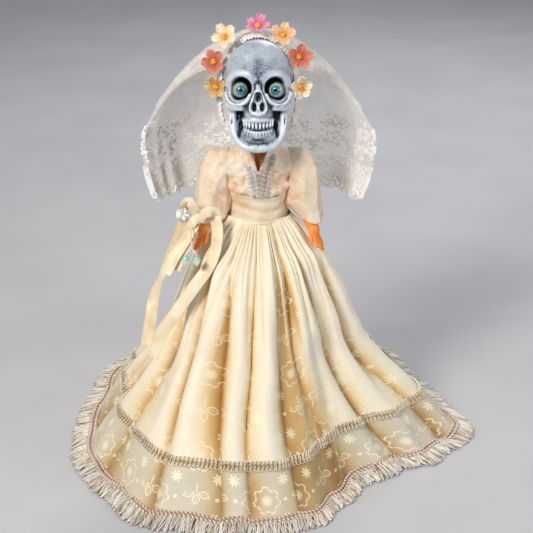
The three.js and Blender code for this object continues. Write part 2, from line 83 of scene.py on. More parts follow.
def head_points(points):
    """Points of the tilted head frame, as points of the doll's frame."""
    p = np.asarray(points, float)
    sin, cos = math.sin(HEAD_TILT), math.cos(HEAD_TILT)
    y = p[..., 1] * cos - p[..., 2] * sin
    z = p[..., 1] * sin + p[..., 2] * cos + HEAD_Z
    return np.stack([p[..., 0], y, z], -1)


def piece(name, points, faces, material, attributes=None, uv=None):
    """A mesh piece from points in millimetres. uv holds one pair for each corner of each face."""
    mesh = bpy.data.meshes.new(name)
    mesh.from_pydata(frame_points(points).tolist(), [], np.asarray(faces).tolist())
    mesh.shade_smooth()
    for key, values in (attributes or {}).items():
        layer = mesh.attributes.new(key, "FLOAT", "POINT")
        layer.data.foreach_set("value", np.asarray(values, np.float32).ravel())
    if uv is not None:
        layer = mesh.uv_layers.new(name="UVMap")
        layer.data.foreach_set("uv", np.asarray(uv, np.float32).ravel())
    mesh.materials.append(material)
    made = bpy.data.objects.new(name + "_visual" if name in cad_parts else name, mesh)
    bpy.context.scene.collection.objects.link(made)
    return made


def grid_faces(rows, columns, wrap=False):
    """Quads of a grid of points, row by row, and the grid position of each quad's corners."""
    steps = columns if wrap else columns - 1
    r, c = np.meshgrid(np.arange(rows - 1), np.arange(steps), indexing="ij")
    r, c = r.ravel(), c.ravel()
    corners = np.stack([np.stack([r, c], 1), np.stack([r, c + 1], 1),
                        np.stack([r + 1, c + 1], 1), np.stack([r + 1, c], 1)], 1)
    faces = corners[:, :, 0] * columns + corners[:, :, 1] % columns
    return faces, corners


def grid_piece(name, points, material, uv=None, wrap=False, attributes=None):
    rows, columns = points.shape[:2]
    faces, corners = grid_faces(rows, columns, wrap)
    corner_uv = None
    if uv is not None:
        corner_uv = uv[corners[:, :, 0], corners[:, :, 1] % columns]
    return piece(name, points.reshape(-1, 3), faces, material, attributes, corner_uv)


class Bundle:
    """Collects many small tubes and patches into one mesh."""

    def __init__(self):
        self.points = []
        self.faces = []
        self.shades = []
        self.count = 0

    def add(self, points, faces, shade=0.5):
        points = np.asarray(points, float).reshape(-1, 3)
        self.points.append(points)
        self.faces.append(np.asarray(faces) + self.count)
        self.shades.append(np.broadcast_to(np.asarray(shade, float), (len(points),)))
        self.count += len(points)

    def tube(self, path, radius, sides=5, shade=0.5, closed=False):
        """A round tube along a path of points, with flat ends."""
        path = np.asarray(path, float)
        ahead = np.roll(path, -1, 0) - np.roll(path, 1, 0)
        if not closed:
            ahead[0] = path[1] - path[0]
            ahead[-1] = path[-1] - path[-2]
        ahead /= np.linalg.norm(ahead, axis=1, keepdims=True) + 1e-9
        side = np.cross(ahead, [0.31, 0.17, 0.93])
        side /= np.linalg.norm(side, axis=1, keepdims=True) + 1e-9
        other = np.cross(ahead, side)
        turn = np.linspace(0, 2 * math.pi, sides, endpoint=False)
        radii = np.broadcast_to(np.asarray(radius, float), (len(path),))[:, None, None]
        ring = side[:, None] * np.cos(turn)[None, :, None] + other[:, None] * np.sin(turn)[None, :, None]
        points = path[:, None] + ring * radii
        rows = len(path)
        if closed:
            points = np.concatenate([points, points[:1]])
            rows += 1
        faces, _ = grid_faces(rows, sides, wrap=True)
        self.add(points, faces, shade)

    def patch(self, points, shade=0.5, wrap=False):
        points = np.asarray(points, float)
        faces, _ = grid_faces(points.shape[0], points.shape[1], wrap)
        self.add(points, faces, shade)

    def build(self, name, material):
        points = np.concatenate(self.points)
        faces = np.concatenate(self.faces)
        return piece(name, points, faces, material, {"shade": np.concatenate(self.shades)})


def smooth_path(points, count):
    """A Catmull-Rom curve through the points, at count evenly spaced places."""
    p = np.asarray(points, float)
    p = np.concatenate([[2 * p[0] - p[1]], p, [2 * p[-1] - p[-2]]])
    fine = []
    for i in range(1, len(p) - 2):
        t = np.linspace(0, 1, 24, endpoint=False)[:, None]
        a, b, c, d = p[i - 1], p[i], p[i + 1], p[i + 2]
        fine.append(0.5 * (2 * b + (c - a) * t + (2 * a - 5 * b + 4 * c - d) * t**2 + (3 * b - a - 3 * c + d) * t**3))
    fine = np.concatenate(fine + [p[-2][None]])
    length = np.concatenate([[0], np.cumsum(np.linalg.norm(np.diff(fine, axis=0), axis=1))])
    at = np.linspace(0, length[-1], count)
    return np.stack([np.interp(at, length, fine[:, k]) for k in range(3)], 1)


def path_length(points):
    return float(np.linalg.norm(np.diff(np.asarray(points), axis=0), axis=1).sum())


def eased(x):
    x = np.clip(x, 0, 1)
    return x * x * (3 - 2 * x)


def wander(u, v, columns, rows, seed, periodic=True):
    """Smooth random values from -1 to 1 over u and v, each from 0 to 1. u closes on itself if periodic."""
    lattice = np.random.default_rng(seed).uniform(-1, 1, (columns + 1, rows + 1))
    if periodic:
        lattice[-1] = lattice[0]
    x = np.clip(u, 0, 1) * columns
    y = np.clip(v, 0, 1) * rows
    i = np.minimum(x.astype(int), columns - 1)
    j = np.minimum(y.astype(int), rows - 1)
    fx, fy = eased(x - i), eased(y - j)
    low = lattice[i, j] * (1 - fx) + lattice[i + 1, j] * fx
    high = lattice[i, j + 1] * (1 - fx) + lattice[i + 1, j + 1] * fx
    return low * (1 - fy) + high * fy


# ---- Solids as distance fields, for the moulded plastic ----


class Field:
    """Distances to a solid's surface on a grid, negative inside. Primitives join, carve and keep."""

    def __init__(self, low, high, step, mirror=False):
        axes = [np.arange(a, b + step, step) for a, b in zip(low, high)]
        self.low = np.array(low, float)
        self.step = step
        self.x, self.y, self.z = np.meshgrid(*axes, indexing="ij", sparse=True)
        self.across = np.abs(self.x) if mirror else self.x
        self.values = np.full([len(a) for a in axes], 50.0)

    def ball(self, centre, radii):
        dx, dy, dz = self.across - centre[0], self.y - centre[1], self.z - centre[2]
        rx, ry, rz = radii
        near = np.sqrt((dx / rx) ** 2 + (dy / ry) ** 2 + (dz / rz) ** 2)
        slope = np.sqrt((dx / rx**2) ** 2 + (dy / ry**2) ** 2 + (dz / rz**2) ** 2)
        return near * (near - 1) / (slope + 1e-6)

    def rod(self, start, end, radius, end_radius=None):
        end_radius = radius if end_radius is None else end_radius
        axis = np.subtract(end, start).astype(float)
        dx, dy, dz = self.across - start[0], self.y - start[1], self.z - start[2]
        share = np.clip((dx * axis[0] + dy * axis[1] + dz * axis[2]) / (axis @ axis), 0, 1)
        gap = np.sqrt((dx - share * axis[0]) ** 2 + (dy - share * axis[1]) ** 2 + (dz - share * axis[2]) ** 2)
        return gap - (radius + (end_radius - radius) * share)

    def ridge(self, points, radius, count=12):
        """A rod bent along a smooth path."""
        path = smooth_path(points, count)
        distance = self.rod(path[0], path[1], radius)
        for start, end in zip(path[1:], path[2:]):
            distance = np.minimum(distance, self.rod(start, end, radius))
        return distance

    def join(self, other, soft=1.0):
        share = np.clip(0.5 + 0.5 * (other - self.values) / soft, 0, 1)
        self.values = other + (self.values - other) * share - soft * share * (1 - share)

    def carve(self, other, soft=1.0):
        share = np.clip(0.5 + 0.5 * (other + self.values) / soft, 0, 1)
        self.values = -(other + (-self.values - other) * share - soft * share * (1 - share))

    def keep(self, other):
        self.values = np.maximum(self.values, other)

    def hollowness(self, passes):
        """How far the solid around each point stands out beyond it: low in recesses, high on ridges."""
        blurred = self.values.copy()
        for _ in range(passes):
            for axis in range(3):
                blurred = (np.roll(blurred, 1, axis) + blurred + np.roll(blurred, -1, axis)) / 3
        return blurred - self.values

    def sample(self, values, points):
        index = np.rint((points - self.low) / self.step).astype(int)
        index = np.clip(index, 0, np.array(values.shape) - 1)
        return values[index[:, 0], index[:, 1], index[:, 2]]

    def surface(self):
        """Points and quads of the surface where the distance is zero."""
        values = np.pad(self.values, 1, constant_values=9.0)
        size = values.shape
        low = self.low - self.step
        keys, spots, quads = [], [], []
        for axis in range(3):
            a = np.moveaxis(values, axis, 0)
            crossing = (a[:-1] < 0) != (a[1:] < 0)
            index = np.argwhere(crossing)
            start = a[:-1][crossing]
            stop = a[1:][crossing]
            order = [axis] + [k for k in range(3) if k != axis]
            at = np.empty((len(index), 3))
            cell = np.empty((len(index), 3), int)
            for column, k in enumerate(order):
                cell[:, k] = index[:, column]
                at[:, k] = index[:, column]
            at[:, axis] += start / (start - stop)
            p, q = order[1], order[2]
            around = []
            for dp, dq in ((1, 1), (0, 1), (0, 0), (1, 0)):
                near = cell.copy()
                near[:, p] -= dp
                near[:, q] -= dq
                key = (near[:, 0] * size[1] + near[:, 1]) * size[2] + near[:, 2]
                around.append(key)
                keys.append(key)
                spots.append(at)
            quad = np.stack(around, 1)
            flip = (start < 0) == (axis == 1)
            quad[flip] = quad[flip][:, ::-1]
            quads.append(quad)
        keys = np.concatenate(keys)
        spots = np.concatenate(spots)
        unique, back = np.unique(keys, return_inverse=True)
        number = np.bincount(back)
        points = np.stack([np.bincount(back, spots[:, k]) / number for k in range(3)], 1)
        faces = np.searchsorted(unique, np.concatenate(quads))
        return points * self.step + low, faces


# ---- Materials ----


def rgb(code):
    """A colour written as in a paint chart, such as e8d2b0, as linear values."""
    channels = [int(code[i:i + 2], 16) / 255 for i in (0, 2, 4)]
    return [c / 12.92 if c <= 0.04045 else ((c + 0.055) / 1.055) ** 2.4 for c in channels] + [1]


class Value:
    """An output socket of a material's node tree, with arithmetic that adds nodes."""

    def __init__(self, finish, socket):
        self.finish = finish
        self.socket = socket

    def math(self, kind, *others):
        node = self.finish.node("ShaderNodeMath", operation=kind)
        for i, item in enumerate((self, *others)):
            if isinstance(item, Value):
                self.finish.tree.links.new(item.socket, node.inputs[i])
            else:
                node.inputs[i].default_value = item
        return Value(self.finish, node.outputs[0])

    def __add__(self, other):
        return self.math("ADD", other)

    def __sub__(self, other):
        return self.math("SUBTRACT", other)

    def __mul__(self, other):
        return self.math("MULTIPLY", other)

    def __truediv__(self, other):
        return self.math("DIVIDE", other)

    def lower(self, other):
        return self.math("MINIMUM", other)

    def upper(self, other):
        return self.math("MAXIMUM", other)

    def ramp(self, start, end, low=0.0, high=1.0):
        """Turns smoothly from low at start to high at end."""
        node = self.finish.node("ShaderNodeMapRange", interpolation_type="SMOOTHSTEP")
        self.finish.tree.links.new(self.socket, node.inputs["Value"])
        for key, number in (("From Min", start), ("From Max", end), ("To Min", low), ("To Max", high)):
            node.inputs[key].default_value = number
        return Value(self.finish, node.outputs["Result"])

    def colours(self, *stops):
        """A colour ramp: stops are (place, colour code)."""
        node = self.finish.node("ShaderNodeValToRGB")
        elements = node.color_ramp.elements
        while len(elements) < len(stops):
            elements.new(0.5)
        for element, (place, code) in zip(elements, stops):
            element.position = place
            element.color = rgb(code)
        self.finish.tree.links.new(self.socket, node.inputs[0])
        return Value(self.finish, node.outputs[0])


class Finish:
    """A material with a Principled shader and helpers to build its patterns."""

    def __init__(self, name, **sockets):
        self.material = bpy.data.materials.new(name)
        self.material.use_nodes = True
        self.tree = self.material.node_tree
        self.shader = self.tree.nodes["Principled BSDF"]
        for key, value in sockets.items():
            self.shader.inputs[key.replace("_", " ")].default_value = value

    def node(self, kind, **settings):
        made = self.tree.nodes.new(kind)
        for key, value in settings.items():
            setattr(made, key, value)
        return made

    def place(self):
        """The point on the object, in millimetres, as a vector."""
        coordinates = self.node("ShaderNodeTexCoord")
        scaled = self.node("ShaderNodeVectorMath", operation="SCALE")
        scaled.inputs["Scale"].default_value = 1000
        self.tree.links.new(coordinates.outputs["Object"], scaled.inputs[0])
        return Value(self, scaled.outputs[0])

    def split(self, vector):
        node = self.node("ShaderNodeSeparateXYZ")
        self.tree.links.new(vector.socket, node.inputs[0])
        return [Value(self, node.outputs[i]) for i in range(3)]

    def join(self, *parts):
        node = self.node("ShaderNodeCombineXYZ")
        for i, part in enumerate(parts):
            if isinstance(part, Value):
                self.tree.links.new(part.socket, node.inputs[i])
            else:
                node.inputs[i].default_value = part
        return Value(self, node.outputs[0])

    def uv(self):
        """The cloth's own coordinates in millimetres."""
        node = self.node("ShaderNodeUVMap", uv_map="UVMap")
        u, v, _ = self.split(Value(self, node.outputs[0]))
        return u, v

    def attribute(self, name):
        node = self.node("ShaderNodeAttribute", attribute_name=name)
        return Value(self, node.outputs["Fac"])

    def noise(self, vector, scale, detail=3.0, stretch=None):
        if stretch is not None:
            mapping = self.node("ShaderNodeMapping")
            mapping.inputs["Scale"].default_value = stretch
            self.tree.links.new(vector.socket, mapping.inputs[0])
            vector = Value(self, mapping.outputs[0])
        node = self.node("ShaderNodeTexNoise")
        node.inputs["Scale"].default_value = scale
        node.inputs["Detail"].default_value = detail
        self.tree.links.new(vector.socket, node.inputs["Vector"])
        return Value(self, node.outputs["Fac"])

    def cells(self, vector, scale):
        node = self.node("ShaderNodeTexVoronoi", feature="DISTANCE_TO_EDGE")
        node.inputs["Scale"].default_value = scale
        self.tree.links.new(vector.socket, node.inputs["Vector"])
        return Value(self, node.outputs["Distance"])

    def mix(self, share, first, second):
        node = self.node("ShaderNodeMix", data_type="RGBA")
        for key, item in (("Factor", share), ("A", first), ("B", second)):
            sockets = [s for s in node.inputs if s.name == key and s.enabled]
            if isinstance(item, Value):
                self.tree.links.new(item.socket, sockets[0])
            else:
                sockets[0].default_value = rgb(item) if isinstance(item, str) else item
        return Value(self, [s for s in node.outputs if s.enabled][0])

    def paint(self, key, value):
        self.tree.links.new(value.socket, self.shader.inputs[key])

    def bump(self, height, distance, strength=1.0):
        """Distance is in millimetres."""
        node = self.node("ShaderNodeBump")
        node.inputs["Strength"].default_value = strength
        node.inputs["Distance"].default_value = distance * MM
        self.tree.links.new(height.socket, node.inputs["Height"])
        self.tree.links.new(node.outputs[0], self.shader.inputs["Normal"])


def skull_finish():
    """Silvery white plastic with a dark wash in its hollows, deepened there with painted shade, and painted highlight
    on its ridges.
    """
    f = Finish("antiqued_skull", Roughness=0.42, Metallic=0.1, Coat_Weight=0.12, Coat_Roughness=0.35)
    place = f.place()
    speckle = f.noise(place, 1.1, 5)
    wash = f.noise(place, 0.16, 4)
    # The attribute read here holds the skull's own wash together with painted shade in the hollows and painted
    # highlight on the ridges.
    shade = f.attribute("wash_and_painted_light") + (speckle - 0.5) * 0.34 + (wash - 0.5) * 0.3
    f.paint("Base Color", shade.colours(
        (0.0, "030409"), (0.26, "0b0e16"), (0.4, "343c49"), (0.5, "7f8a99"), (0.62, "b3c0cd"), (0.95, "e2eaf1")))
    f.paint("Roughness", speckle.ramp(0.3, 0.7, 0.34, 0.55))
    f.bump(speckle, 0.25, 0.5)
    return f.material


def eye_finish():
    """A glossy doll's eye: black pupil, blue-green iris with spokes, pale sclera with painted shade towards its edge.
    """
    f = Finish("glass_eye", Roughness=0.06, Coat_Weight=1.0, Coat_Roughness=0.02)
    off_axis = f.attribute("off_axis")
    spokes = f.noise(f.join(f.attribute("spoke") * 9.0, off_axis * 0.6, 0.0), 1.0, 2)
    mottle = f.noise(f.place(), 0.7, 3)
    iris = (spokes + off_axis * 0.12).colours(
        (0.25, "06202b"), (0.5, "134a5e"), (0.72, "2f7d92"), (1.0, "7fc0c4"))
    sclera = mottle.colours((0.3, "8fa99a"), (0.7, "bcc8c0"))
    pupil = off_axis.ramp(0.78, 0.9)
    ring = off_axis.ramp(2.2, 2.45)
    white = off_axis.ramp(2.5, 2.75)
    inner = f.mix(pupil, "050606", iris)
    limbus = f.mix(ring, inner, "0c2833")
    # Painted shade: the sclera darkens towards its edge, inside the socket.
    shaded = f.mix(off_axis.ramp(3.1, 4.6), sclera, "26352f")
    f.paint("Base Color", f.mix(white, limbus, shaded))
    return f.material


def plastic_finish(name, base, deep, roughness=0.42, soft=0.12):
    """Moulded plastic with a slight mottle."""
    f = Finish(name, Roughness=roughness, Subsurface_Weight=soft, Subsurface_Scale=2 * MM)
    place = f.place()
    mottle = f.noise(place, 0.12, 3)
    grain = f.noise(place, 2.2, 2)
    f.paint("Base Color", mottle.colours((0.3, deep), (0.7, base)))
    f.paint("Roughness", grain.ramp(0.3, 0.7, roughness - 0.08, roughness + 0.08))
    f.bump(grain, 0.05, 0.4)
    return f.material


def metal_finish(name, base, roughness=0.35):
    """Drawn or stamped metal with fine scratches."""
    f = Finish(name, Roughness=roughness, Metallic=1.0)
    place = f.place()
    scratches = f.noise(place, 1.6, 4, stretch=(6, 6, 1))
    f.paint("Base Color", scratches.colours((0.3, "55575a"), (0.7, base)))
    f.paint("Roughness", scratches.ramp(0.3, 0.7, roughness - 0.1, roughness + 0.15))
    f.bump(scratches, 0.04, 0.5)
    return f.material


def weave(f, u, v, pitch):
    """Fine plain weave, as a height from 0 to 1."""
    warp = (u * (2 * math.pi / pitch)).math("SINE")
    weft = (v * (2 * math.pi / pitch)).math("SINE")
    return warp * weft * 0.5 + 0.5


def motif_mask(f, u, v, size=21.0):
    """The brocade's woven motifs: jagged flowers with a starburst, three-leaf sprigs, and dots."""
    column = (u / size).math("FLOOR")
    row = (v / size).math("FLOOR")
    x = (u / size).math("FRACT") * size - size / 2
    y = (v / size).math("FRACT") * size - size / 2
    odd = ((column + row) * 0.5).math("FRACT") * 2.0
    reach = (x * x + y * y).math("SQRT")
    angle = y.math("ARCTAN2", x)
    petals = (angle * 7.0).math("SINE")
    jagged = (angle * 21.0).math("SINE")
    outline = (reach - 6.6 - petals * 0.8 - jagged * 0.25).math("ABSOLUTE").ramp(0.3, 0.55, 1, 0)
    rays = (angle * 6.0).math("SINE").math("ABSOLUTE")
    burst = (reach - 1.2 - rays * 2.1).ramp(-0.2, 0.25, 1, 0)
    flower = outline.upper(burst)
    # Three leaves stand round a point below the cell's middle, each a pointed oval outline with a vein.
    stem_x, stem_y = x, y + 3.0
    stem_angle = stem_y.math("ARCTAN2", stem_x)
    third = ((stem_angle - math.pi / 2) / (math.pi * 2 / 5)).math("ROUND").math("MAXIMUM", -1.0).math("MINIMUM", 1.0)
    turn = third * (math.pi * 2 / 5) + math.pi / 2
    along = stem_x * turn.math("COSINE") + stem_y * turn.math("SINE")
    beside = (stem_y * turn.math("COSINE") - stem_x * turn.math("SINE")).math("ABSOLUTE")
    swell = ((along - 1.0) * (math.pi / 6.0)).math("SINE") * 1.7
    inside = (along.ramp(0.9, 1.1)) * (along.ramp(6.8, 7.1, 1, 0))
    leaf = ((beside - swell).math("ABSOLUTE").ramp(0.25, 0.5, 1, 0)) * inside
    vein = beside.ramp(0.12, 0.35, 1, 0) * inside
    stem = (stem_x.math("ABSOLUTE").ramp(0.2, 0.45, 1, 0)) * (stem_y.ramp(0.3, 0.0)) * (stem_y.ramp(-5.0, -4.6))
    sprig = leaf.upper(vein * 0.7).upper(stem)
    corner_x = x.math("ABSOLUTE") * -1.0 + size / 2
    corner_y = y.math("ABSOLUTE") * -1.0 + size / 2
    dots = ((corner_x * corner_x + y * y).math("SQRT")).ramp(0.95, 1.25, 1, 0)
    small_rays = (corner_y.math("ARCTAN2", corner_x) * 4.0).math("SINE").math("ABSOLUTE")
    corner_reach = (corner_x * corner_x + corner_y * corner_y).math("SQRT")
    small_burst = (corner_reach - 0.9 - small_rays * 2.2).ramp(-0.2, 0.2, 1, 0)
    picked = flower * (odd * -1.0 + 1.0) + sprig * odd
    return picked.upper(dots).upper(small_burst)


def brocade_finish(name, sheer):
    """Sheer ivory cloth with glossier woven motifs. It is painted amber where its folds run deep, as painted shade."""
    f = Finish(name, Roughness=0.55, Sheen_Weight=0.3, Sheen_Roughness=0.4)
    u, v = f.uv()
    place = f.place()
    motif = motif_mask(f, u, v)
    threads = weave(f, u, v, 0.55)
    stain = f.noise(place, 0.035, 3)
    crease = f.noise(place, 0.22, 4)
    # Painted shade: the cloth turns amber with how deep in a fold it lies. The stain noise on top is the cloth's own.
    depth = f.attribute("painted_fold_shade") + (stain - 0.5) * 0.5 + (crease - 0.5) * 0.2
    cloth = depth.colours((0.0, "f6ecd6"), (0.35, "eddab4"), (0.62, "dcb87c"), (1.0, "b8853f"))
    f.paint("Base Color", f.mix(motif * 0.62, cloth, "fbf3cf"))
    f.paint("Roughness", motif.ramp(0, 1, 0.62, 0.36))
    if sheer:
        thin = f.attribute("thin")
        veiling = (motif.ramp(0, 1, 0.0, 0.3) + threads * 0.2 + 0.62)
        f.paint("Alpha", (thin * -1.0 + 1.0).upper(veiling.lower(1.0)))
    f.bump(motif * 0.5 + threads * 0.25 + crease * 0.7, 0.35, 0.55)
    return f.material


def satin_finish(name, pale, warm, motifs=True):
    """Thin satin over the doll's plastic, with the same woven motifs, tone on tone."""
    f = Finish(name, Roughness=0.44, Sheen_Weight=0.25, Sheen_Roughness=0.35, Subsurface_Weight=0.1,
               Subsurface_Scale=1.5 * MM)
    place = f.place()
    x, y, z = f.split(place)
    blush = f.noise(place, 0.07, 3)
    crease = f.noise(place, 0.4, 4)
    cloth = (blush * 0.8 + crease * 0.25).colours((0.32, warm), (0.55, pale), (0.75, "f5e9d8"))
    threads = weave(f, x + y, z, 0.5)
    height = threads * 0.3 + crease * 0.8
    if motifs:
        motif = motif_mask(f, x + 9.0, z + 4.0, 18.0)
        cloth = f.mix(motif * 0.4, cloth, "faf0dc")
        height = height + motif * 0.5
        f.paint("Roughness", motif.ramp(0, 1, 0.5, 0.34))
    f.paint("Base Color", cloth)
    f.bump(height, 0.3, 0.5)
    return f.material


def ribbon_finish():
    """Cream satin ribbon with fine cross ribs and woven edges."""
    f = Finish("ribbon_satin", Roughness=0.34, Sheen_Weight=0.2, Anisotropic=0.5, Subsurface_Weight=0.08,
               Subsurface_Scale=1 * MM)
    u, v = f.uv()
    mottle = f.noise(f.place(), 0.09, 3)
    ribs = (v * (2 * math.pi / 0.45)).math("SINE") * 0.5 + 0.5
    edge = (u.math("ABSOLUTE")).ramp(2.9, 3.3)
    tone = mottle.colours((0.3, "dcc79c"), (0.55, "efe0bf"), (0.75, "f9f0da"))
    f.paint("Base Color", f.mix(edge * 0.5, tone, "d9be8c"))
    f.bump(ribs * 0.5 + edge, 0.12, 0.5)
    return f.material


def net_finish(name, pitch=1.25, thread=0.15, fill=0.03):
    """Fine tulle: threads round open cells. What is between them is clear."""
    f = Finish(name, Roughness=0.8, Sheen_Weight=0.3)
    u, v = f.uv()
    left = ((u + v) * (math.pi / pitch)).math("SINE").math("ABSOLUTE")
    right = ((u - v) * (math.pi / pitch)).math("SINE").math("ABSOLUTE")
    width = math.sin(math.pi * thread / pitch)
    lines = left.lower(right).ramp(width * 0.55, width * 1.35, 1.0, fill)
    mottle = f.noise(f.place(), 0.2, 3)
    f.paint("Base Color", mottle.colours((0.3, "e9e2dc"), (0.7, "fffdf8")))
    f.paint("Alpha", lines)
    f.bump(lines, 0.08, 0.4)
    return f.material


def thread_finish(name, *stops, metallic=0.0, roughness=0.7):
    """Thread whose tone varies from strand to strand."""
    f = Finish(name, Roughness=roughness, Metallic=metallic, Sheen_Weight=0.3)
    place = f.place()
    fibre = f.noise(place, 3.0, 2)
    worn = f.noise(place, 0.12, 3)
    tone = f.attribute("shade") + (fibre - 0.5) * 0.5 + (worn - 0.5) * 0.4
    f.paint("Base Color", tone.colours(*stops))
    f.bump(fibre, 0.12, 0.6)
    return f.material


def petal_finish(name, throat, middle, rim):
    """Crepe paper, darker at the throat, with fine ribs along the petal."""
    f = Finish(name, Roughness=0.85, Sheen_Weight=0.35, Subsurface_Weight=0.15, Subsurface_Scale=1.5 * MM)
    reach = f.attribute("reach")
    crepe = f.noise(f.join(f.attribute("across") * 14.0, reach * 1.2, 0.0), 1.0, 3)
    mottle = f.noise(f.place(), 0.35, 3)
    tone = reach + (mottle - 0.5) * 0.35 + (crepe - 0.5) * 0.25
    f.paint("Base Color", tone.colours((0.05, throat), (0.45, middle), (1.0, rim)))
    f.bump(crepe + mottle, 0.3, 0.6)
    return f.material


def bud_finish():
    """A pearly drop, white with a mint cap."""
    f = Finish("pearly_bud", Roughness=0.25, Coat_Weight=0.6, Coat_Roughness=0.1)
    place = f.place()
    mottle = f.noise(place, 0.5, 3)
    tone = f.attribute("shade") + (mottle - 0.5) * 0.4
    f.paint("Base Color", tone.colours((0.2, "f3efe6"), (0.5, "e4efe3"), (0.8, "8fd0b8")))
    f.bump(mottle, 0.1, 0.4)
    return f.material


def floor_finish():
    f = Finish("studio_floor", Roughness=0.75)
    mottle = f.noise(f.place(), 0.01, 3)
    f.paint("Base Color", mottle.colours((0.3, "b9b9bd"), (0.7, "c2c2c6")))
    return f.material


SKULL = skull_finish()
EYE = eye_finish()
SKIN = plastic_finish("orange_plastic", "ffa450", "f88a30")
SHELL = plastic_finish("body_plastic", "ffa450", "f08a3c", 0.5)
WIRE = metal_finish("bright_wire", "b7b9bc")
ELASTIC = thread_finish("elastic_cord", (0.2, "3a332d"), (0.8, "6a5f54"))
BROCADE = brocade_finish("gown_brocade", True)
LINING = satin_finish("petticoat_taffeta", "e9d3a6", "cfa76a", motifs=False)
BODICE_SATIN = satin_finish("bodice_satin", "ecd4b8", "d9a887")
BAND_SATIN = satin_finish("waistband_satin", "eddcc0", "dcbb92", motifs=False)
RIBBON = ribbon_finish()
NET = net_finish("veil_net")
TULLE = net_finish("headband_tulle", 1.1, 0.24, 0.5)
EMBROIDERY = thread_finish("veil_embroidery", (0.1, "fbf4ea"), (0.8, "ffffff"))
GIMP = thread_finish("gimp_braid", (0.15, "b08c5a"), (0.42, "dcbf8f"), (0.6, "f0e0c4"), (0.9, "fffaf0"),
                     metallic=0.25, roughness=0.42)
ROSE_BRAID = thread_finish("rose_gold_braid", (0.15, "8d6a50"), (0.45, "cfa88a"), (0.7, "e9d8c8"), (0.95, "f6f1ea"),
                           metallic=0.3, roughness=0.42)
FRINGE = thread_finish("fringe_thread", (0.15, "b9a48c"), (0.5, "e2d6c6"), (0.9, "faf6ee"), metallic=0.1,
                       roughness=0.55)
STAMEN = thread_finish("stamen_wax", (0.2, "d9720e"), (0.6, "f5a41a"), (0.95, "fcd04a"))
BUD = bud_finish()
PETALS = {
    "coral": petal_finish("coral_paper", "a8452f", "c4694f", "dc9a80"),
    "peach": petal_finish("peach_paper", "cf8f5a", "e6b583", "f5d9b4"),
    "cream": petal_finish("cream_paper", "dfa46c", "f0d7ac", "fbf2de"),
    "pink": petal_finish("pink_paper", "b8386e", "dc739f", "f2a9c4"),
    "gold": petal_finish("gold_paper", "a06a30", "cba062", "e6cc98"),
}


# ---- Camera ----


def place_camera():
    """Looks a little down on the doll from the front."""
    lens = bpy.data.cameras.new("camera")
    lens.sensor_width = 36
    lens.lens = 94.56
    lens.clip_start = 0.05
    camera = bpy.data.objects.new("camera", lens)
    camera.location = frame_points([[4.5, -747, 430]])[0]
    camera.rotation_euler = (math.radians(66.4), 0, 0)
    bpy.context.scene.collection.objects.link(camera)
    bpy.context.scene.camera = camera


# ---- Ribbons at the right wrist: the free ends are flat cords ----

KNOT = np.array([-33.0, -19.0, 142.0])
RIBBON_WIDTH = 7
LONG_STREAMER = KNOT + [[-9, 4, -4], [-13, 5, -16], [-20, 6, -32], [-27, 4, -50], [-29, -2, -62], [-32, -7, -76]]
SHORT_TAIL = KNOT + [[-4, -2, -6], [-9, -6, -13], [-14, -9, -20], [-19, -12, -29]]
FRONT_STREAMER = KNOT + [[9, -1, 1], [10, -5, -9], [7, -11, -22], [-4, -19, -36], [-13, -23, -48], [-22, -25, -62],
                         [-26, -28, -74]]


def ribbon_strip(name, path, facing, count=60, curl=0.35, width=RIBBON_WIDTH, twist=None):
    """A flat ribbon along a path. facing is the direction that its face looks in, or one for each end."""
    line = smooth_path(path, count)
    ahead = np.gradient(line, axis=0)
    ahead /= np.linalg.norm(ahead, axis=1, keepdims=True)
    facing = np.atleast_2d(np.asarray(facing, float))
    share = np.linspace(0, len(facing) - 1, count)
    look = np.stack([np.interp(share, np.arange(len(facing)), facing[:, k]) for k in range(3)], 1)
    side = np.cross(ahead, look)
    side /= np.linalg.norm(side, axis=1, keepdims=True)
    out = np.cross(side, ahead)
    if twist is not None:
        angle = np.interp(np.linspace(0, 1, count), np.linspace(0, 1, len(twist)), np.radians(twist))[:, None]
        side, out = side * np.cos(angle) + out * np.sin(angle), out * np.cos(angle) - side * np.sin(angle)
    across = np.linspace(-0.5, 0.5, 9)
    wave = curl * np.sin(np.linspace(0, 9, count))[:, None] * across[None] * 2
    bow = curl * (0.25 - across**2)[None] * 4
    points = line[:, None] + side[:, None] * (across * width)[None, :, None] + out[:, None] * (wave + bow)[..., None]
    length = np.linspace(0, path_length(line), count)
    uv = np.stack(np.broadcast_arrays((across * width)[None], length[:, None]), -1)
    made = grid_piece(name, points, RIBBON, uv=uv)
    return made, line


def hang_from_wrist(made):
    """Bakes the ribbon's place into its mesh."""
    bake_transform(made)


def declare_ribbon(node):
    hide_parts(node)


def free_ribbons():
    made, line = ribbon_strip("ribbon_streamer_long", LONG_STREAMER, (-0.8, -1, 0.2), 90, twist=(0, 10, -20, 40, 10))
    declare_ribbon("ribbon_streamer_long")
    hang_from_wrist(made)
    made, line = ribbon_strip("ribbon_streamer_front", FRONT_STREAMER, (-0.4, -1, 0.3), 90,
                              twist=(0, -15, 25, 10, -20))
    declare_ribbon("ribbon_streamer_front")
    hang_from_wrist(made)


def folded_tail():
    """The short tail: a ribbon folded double, whose two leaves spread towards the cut ends."""
    front = SHORT_TAIL
    back = SHORT_TAIL[::-1] + np.array([[6, 2, 1], [4, 2, 0], [2, 1.5, 0], [1, 1.2, 0]])
    path = np.concatenate([back[:3], [front[0] + [1, 2.4, 2]], front])
    made, line = ribbon_strip("ribbon_tail_short", path, (-0.5, -1, 0.3), 90, curl=0.6, twist=(20, 0, 0, -12))
    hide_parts("ribbon_tail_short")
    return made, line


